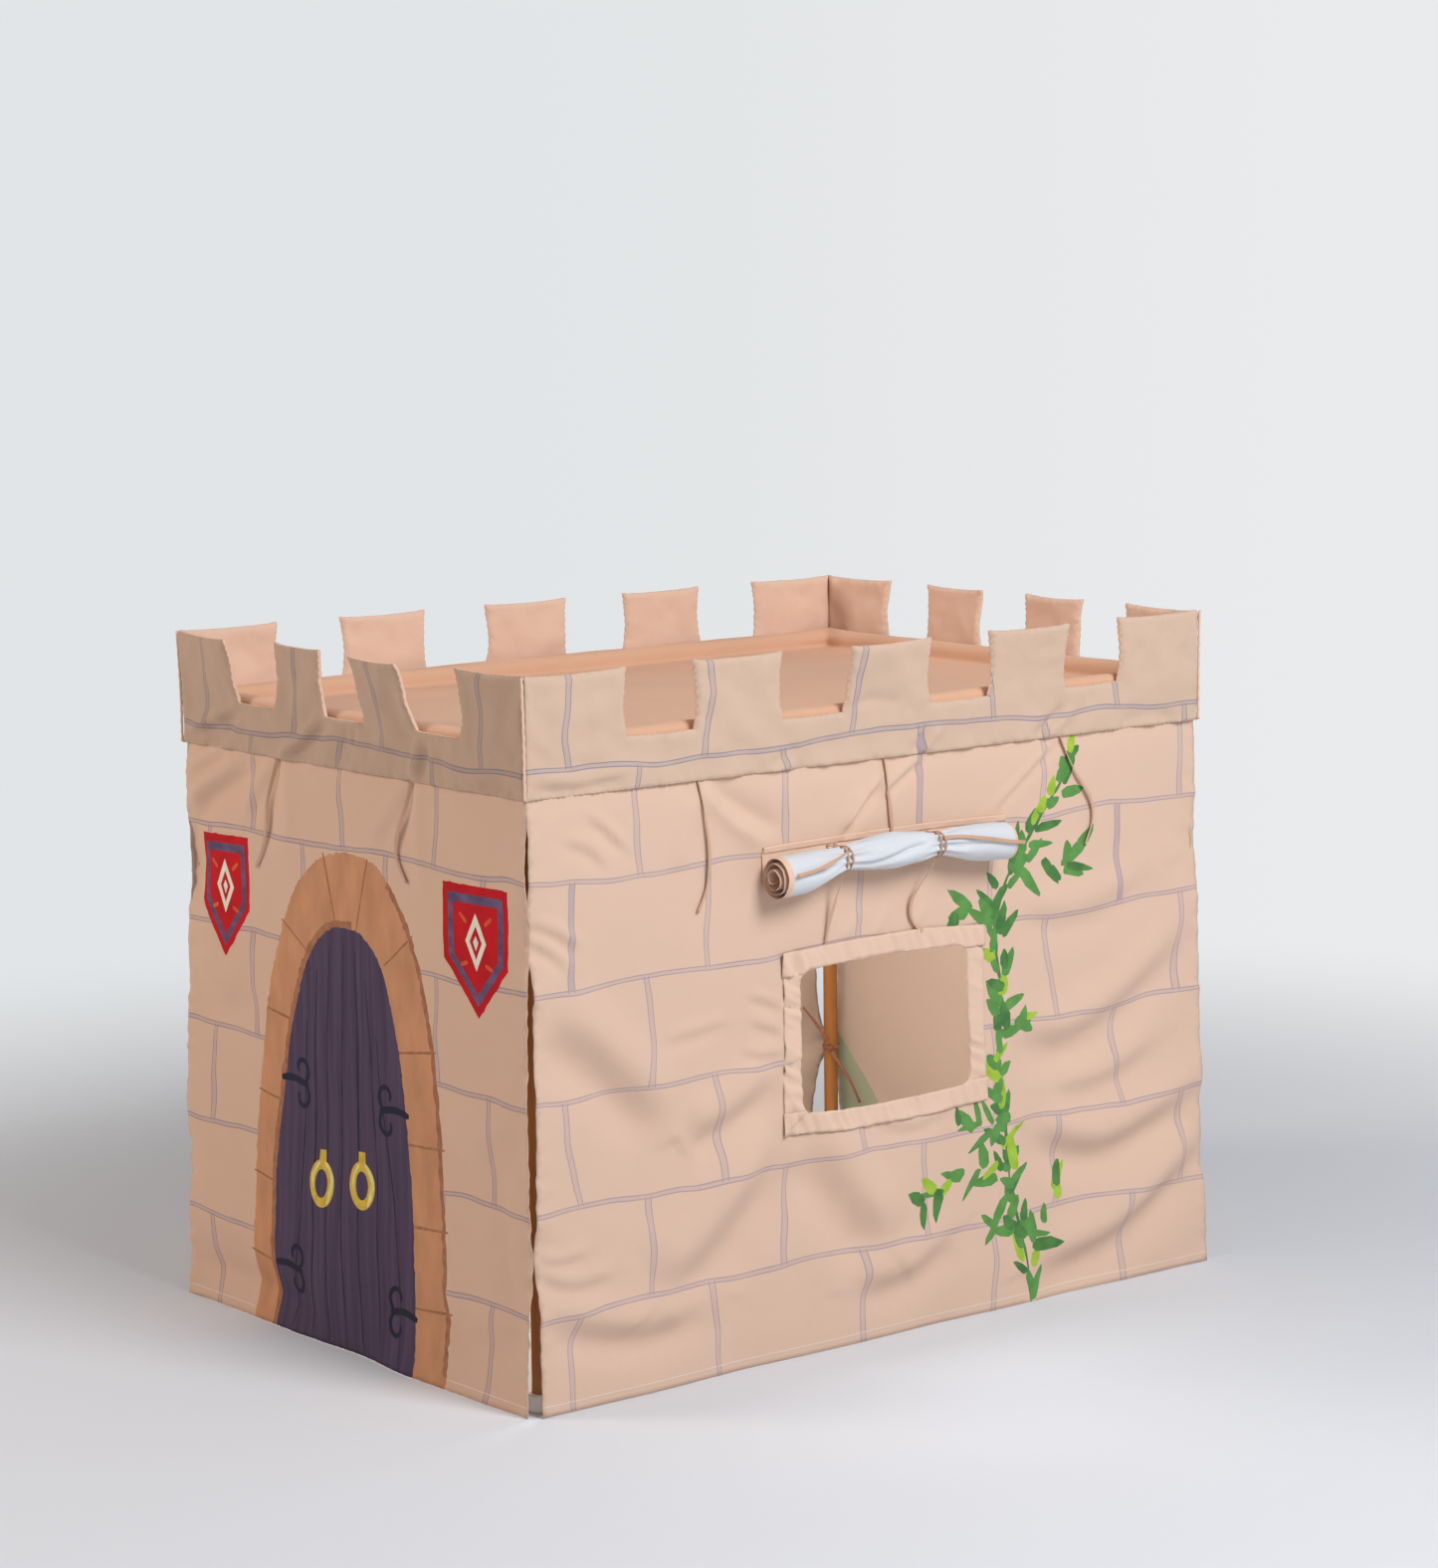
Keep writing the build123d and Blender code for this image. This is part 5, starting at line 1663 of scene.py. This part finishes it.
# A soft flat tape, folded lengthwise
def makeRibbon(name, points, outward, twist, share=1.0, finish=ribbonClothShaded):
    line = routeLine(points)
    half, thick = share * castle["ribbonWidth"] / 2, ribbonSet["thickness"] / 2
    around = 2 * ribbonSet["folds"]
    places, uv, travel = [], [], 0.0
    for index, spot in enumerate(line):
        ahead = line[min(index + 1, len(line) - 1)] - line[max(index - 1, 0)]
        ahead.normalize()
        face = (outward - ahead * outward.dot(ahead)).normalized()
        across = ahead.cross(face)
        t = index / (len(line) - 1)
        turn = twist[0] + (twist[1] - twist[0]) * t + 0.25 * math.sin(9 * t)
        wide = across * math.cos(turn) + face * math.sin(turn)
        up = face * math.cos(turn) - across * math.sin(turn)
        travel += (spot - line[index - 1]).length if index else 0
        reach = half * (ribbonSet["widthShare"] + ribbonSet["widthWave"] * math.sin(11 * t + 2))
        for fold in range(around):
            angle = 2 * math.pi * fold / around
            flatness = math.copysign(abs(math.sin(angle)) ** ribbonSet["flatness"], math.sin(angle))
            inGroove = math.exp(-((math.cos(angle) / ribbonSet["grooveWidth"]) ** 2))
            groove = ribbonSet["groove"] * thick * inGroove
            rise = flatness * thick - math.copysign(groove, flatness)
            places.append(spot + wide * reach * math.cos(angle) + up * rise)
            uv.append((reach * math.cos(angle), travel))
    faces = gridFaces(len(line), around, closed=True)
    faces.append(tuple(range(around))[::-1])
    faces.append(tuple((len(line) - 1) * around + fold for fold in range(around)))
    return newPiece(name, places, faces, [finish], uv, None), line


for number, (name, (side, length, route)) in enumerate(wallRibbons.items()):
    points = []
    lowest, highest = ribbonSet["foldLimits"]
    for along, drop, out in route:  # what lies on the wall rides over its folds
        fold = wallOut(side, np.array([(along, castle["seam"] - drop)]))[0] - hangOut(drop)
        onWall = min(max((ribbonSet["bareOut"] - out) / ribbonSet["blend"], 0), 1)
        points.append(hangPoint(side, along, drop, out + onWall * min(max(fold, lowest), highest)))
    twist = (0.45, -0.35) if number % 2 else (0.6, 0.1)
    ribbon, line = makeRibbon(name + "_tape", points, Vector(sides[side]["outward"]), twist)
    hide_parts(name)


# Corner ties. Their tails run from the knot: in from the pole across and back, and up
tieSet = {
    "heights": {"upper": 0.625, "lower": 0.203},
    "band": 0.006, "clearance": 0.0003, "knot": 0.011,
    "turns": ((0.0014, 0.10), (-0.0012, -0.13)), "thick": 0.0016,
    "loops": (0.0, 1.2, 2.3), "loopRadius": 0.0035, "loopThick": 0.0018,
    "strap": 0.0155,
    "tails": (
        (
            "rising", 0.076,
            ((0.0, 0.010, 0.020), (-0.008, 0.017, 0.037), (-0.019, 0.024, 0.053), (-0.030, 0.030, 0.067)),
        ),
        (
            "falling", 0.095,
            (
                (0.015, -0.002, -0.017), (0.027, -0.009, -0.036), (0.037, -0.018, -0.060),
                (0.042, -0.026, -0.085),
            ),
        ),
    ),
}


def addRing(place, turn, counts, radius, thick):
    bpy.ops.mesh.primitive_torus_add(
        location=place, rotation=turn, major_segments=counts[0], minor_segments=counts[1],
        major_radius=radius, minor_radius=thick,
    )
    return bpy.context.object


def asTape(parts, name, cloth):  # rings and straps, joined and dressed as one tape
    tie = joinPieces(parts)
    bpy.ops.object.transform_apply(location=True, rotation=True, scale=True)
    tie.name = name
    tie.data.materials.clear()
    tie.data.materials.append(cloth)
    tie.data.uv_layers[0].name = "cloth"
    bpy.ops.object.shade_smooth()
    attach(tie, body)
    return tie


def addStrap(start, way, reach):  # from the pole to the free edge of a wall
    bpy.ops.mesh.primitive_cube_add(size=1, location=start + way * reach / 2)
    strap = bpy.context.object
    size = [ribbonSet["thickness"], ribbonSet["thickness"], tieSet["band"] * 0.72]
    size[0 if abs(way.x) > 0 else 1] = reach
    strap.scale = size
    bpy.ops.object.transform_apply(location=False, rotation=False, scale=True)
    bpy.ops.object.mode_set(mode="EDIT")
    bpy.ops.mesh.subdivide(number_cuts=3)
    bpy.ops.object.mode_set(mode="OBJECT")
    return strap


def makeTie(corner, level):
    across, back = corners[corner]
    height = tieSet["heights"][level]
    centre = Vector((castle["middle"] + across * castle["poleX"], back * castle["poleY"], height))
    inner = castle["poleRadius"] + tieSet["clearance"]
    parts = []
    for lift, tilt in tieSet["turns"]:  # two turns of ribbon that cross
        turn = (tilt * back, -tilt * across, 0)
        parts.append(addRing(centre + Vector((0, 0, lift)), turn, (28, 8), inner + 0.0009, tieSet["thick"]))
    knotAt = (inner + tieSet["knot"] / 2) / math.sqrt(2)
    knot = centre + Vector((-across * knotAt, -back * knotAt, 0))
    for spin in tieSet["loops"]:
        turn = (1.1 + spin, spin * 0.8, 0.8 * across * back)
        parts.append(addRing(knot, turn, (14, 7), tieSet["loopRadius"], tieSet["loopThick"]))
    lean = wallSet["hemOut"] * (castle["seam"] - height) / castle["wallDrop"]
    toSide, toBack = Vector((across, 0, 0)), Vector((0, back, 0))
    for along, way in ((toSide, toBack), (toBack, toSide)):
        parts.append(addStrap(centre + along * (inner + 0.0006), way, tieSet["strap"] + lean * 0.6))
    tie = asTape(parts, "tie_" + corner + "_" + level, tieClothShaded)
    for vertex in tie.data.vertices:  # the band is taller than it is deep
        away = vertex.co - centre
        if math.hypot(away.x, away.y) < inner + 0.004:
            vertex.co.z = centre.z + away.z * 1.25
    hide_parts("corner_tie_" + corner + "_" + level)
    for name, length, route in tieSet["tails"]:
        first = Vector(route[0]).normalized() * (tieSet["knot"] / 2 + tieSet["clearance"])
        points = [knot + Vector((-across * x, -back * y, z)) for x, y, z in (tuple(first),) + route]
        outward = Vector((-across, -back, 0.3)).normalized()
        title = "tail_" + corner + "_" + level + "_" + name
        tail, line = makeRibbon(title, points, outward, (0.1, 0.5), finish=tieClothShaded)
        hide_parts("tie_tails_" + corner + "_" + level)


for corner in corners:
    for level in tieSet["heights"]:
        makeTie(corner, level)


# Ties round the blind's waists: two rings that cross, two strands up to the header and one down to the tail
def makeBlindTie(name, waist):
    blind = blindSet
    wall = castle["middle"] + castle["halfWidth"]
    out = wall + hangOut(blind["axisDrop"]) + blind["axisOut"]
    centre = Vector((out, waist, castle["seam"] - blind["axisDrop"] + rollRise(waist)))
    parts = []
    for shift, tilt in blind["tieTurns"]:
        turn = (math.pi / 2, 0, tilt)
        parts.append(
            addRing(centre + Vector((0, shift, 0)), turn, (32, 8), blind["tieRadius"], blind["tieThick"])
        )
    tie = asTape(parts, name + "_ring", ribbonClothShaded)
    tail = wallRibbons[name.replace("tie", "tail") + "_hanging"][2][0]
    headerHeight = castle["seam"] - blind["headerDrop"]
    strands = []
    for side in (-1, 1):  # from the ring's top back to the header's lower edge
        y = waist + side * 0.006
        headerOut = wallOut("right", np.array([(y, headerHeight)]))[0] + 0.0035
        start = centre + Vector((-0.006, side * 0.0015, 0.0150))
        end = Vector((wall + headerOut, y, headerHeight - 0.001))
        bend = (start + end) / 2 + Vector((0, side * 0.001, -0.0008))
        strands.append(([start, bend, end], Vector((0.3, 0, 1)), (0.1, 0.3)))
    start, below = centre + Vector((0.004, 0.001, -0.0155)), hangPoint("right", *tail)
    bend = (start + below) / 2 + Vector((0.002, 0.001, 0))
    strands.append(([start, bend, below], Vector((1, 0, 0)), (0.3, 0.5)))
    parts = [tie]
    for number, (points, outward, twist) in enumerate(strands):
        parts.append(makeRibbon(name + "_strand_" + str(number), points, outward, twist, 0.7)[0])
    joinPieces(parts)
    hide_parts(name)


for name, waist in zip(("blind_tie_left", "blind_tie_right"), blindSet["waists"]):
    makeBlindTie(name, waist)
print("castle: ribbons tied")


# Frame pieces keep their CAD shapes and take wood and plastic
def dressNode(name, finish):
    mesh = frame["nodes"][name].data
    mesh.materials.clear()
    mesh.materials.append(finish)


for corner in corners:
    for piece, finish in (("pole_", pineUpright), ("corner_fitting_", plastic), ("foot_cap_", plastic)):
        dressNode(piece + corner, finish)
for side in sides:
    dressNode("rail_" + side, pineShort if side in ("front", "back") else pineLong)
print("castle: frame dressed")


# Studio: pale floor that fades into the backdrop, and soft light from the window side
studioSet = {
    "floorRadius": 22.0,
    "fadeStart": 1.0, "fadeEnd": 3.0,
    "lighterWay": (0.62, 0.78, 0.0), "lighterFrom": -0.06, "lighterTo": 0.20,
    "worldLight": 0.31, "worldColour": (0.98, 0.99, 1.0),
    "lights": {
        "key light": {"place": (4.3, 0.2, 3.9), "size": 2.4, "power": 226, "colour": (0.98, 1.0, 1.02)},
        "front light": {"place": (-2.6, -4.2, 2.6), "size": 2.2, "power": 110, "colour": (1.0, 0.88, 0.78)},
        "light through the roof cloth": {
            "place": (0.0, 0.0, 0.80), "size": 0.65, "power": 6.6, "colour": (0.98, 1.0, 1.0),
            "aim": (0, 0, 0),
        },
    },
}


def addSoftLight(name, settings):
    place = Vector(settings["place"])
    turn = (place - Vector(settings.get("aim", (0, 0, 0.45)))).to_track_quat("Z", "Y").to_euler()
    bpy.ops.object.light_add(type="AREA", location=place, rotation=turn)
    light = bpy.context.object
    light.name = name
    light.data.shape = "DISK"
    light.data.size = settings["size"]
    light.data.energy = settings["power"]
    light.data.color = settings["colour"]


# painted light: the backdrop is a little lighter toward the window side, where the key light stands
def backdropColour(nodes, links, direction):  # a little lighter toward the window side
    studio = studioSet
    toward = doVectorMath(nodes, links, "DOT_PRODUCT", direction, studio["lighterWay"])
    fade = mapRange(nodes, links, toward, studio["lighterFrom"], studio["lighterTo"], kind="SMOOTHSTEP")
    return mixColours(nodes, links, fade, colours["backdrop"], colours["backdropPaintedLight"])


def makeWorld():
    world = bpy.data.worlds.new("studio")
    bpy.context.scene.world = world
    world.use_nodes = True
    nodes, links = world.node_tree.nodes, world.node_tree.links
    nodes.clear()
    seen, lit = nodes.new("ShaderNodeBackground"), nodes.new("ShaderNodeBackground")
    direction = nodes.new("ShaderNodeTexCoord").outputs["Generated"]
    links.new(backdropColour(nodes, links, direction), seen.inputs["Color"])
    lit.inputs["Color"].default_value = (*studioSet["worldColour"], 1)
    lit.inputs["Strength"].default_value = studioSet["worldLight"]
    path = nodes.new("ShaderNodeLightPath")
    direct = doMath(nodes, links, "MAXIMUM", path.outputs["Is Camera Ray"], path.outputs["Is Glossy Ray"])
    direct = doMath(nodes, links, "MAXIMUM", direct, path.outputs["Is Transmission Ray"])
    output = nodes.new("ShaderNodeOutputWorld")
    mixShaders(nodes, links, direct, lit.outputs[0], seen.outputs[0], output.inputs[0])


def makeFloor():
    deselectAll()
    bpy.ops.mesh.primitive_circle_add(vertices=96, radius=studioSet["floorRadius"], fill_type="NGON")
    floor = bpy.context.object
    floor.name = "studio_floor"
    material, nodes, links, shader = startFinish("studio floor")
    shader.inputs["Base Color"].default_value = (*colours["floor"], 1)
    setSurface(shader, 0.9, specular=0.1)
    inSpace = nodes.new("ShaderNodeTexCoord").outputs["Object"]
    far = doVectorMath(nodes, links, "LENGTH", inSpace)
    fade = mapRange(nodes, links, far, studioSet["fadeStart"], studioSet["fadeEnd"], kind="SMOOTHSTEP")
    # far off, the floor glows with the backdrop's colour, with the same painted light toward the window side
    glow = nodes.new("ShaderNodeEmission")
    fromHere = doVectorMath(nodes, links, "SUBTRACT", inSpace, cameraSet["place"])
    direction = doVectorMath(nodes, links, "NORMALIZE", fromHere)
    links.new(backdropColour(nodes, links, direction), glow.inputs["Color"])
    surface = nodes["Material Output"].inputs["Surface"]
    mixShaders(nodes, links, fade, shader.outputs[0], glow.outputs[0], surface)
    floor.data.materials.append(material)


makeWorld()
makeFloor()
for name, settings in studioSet["lights"].items():
    addSoftLight(name, settings)
print("castle: studio lit")
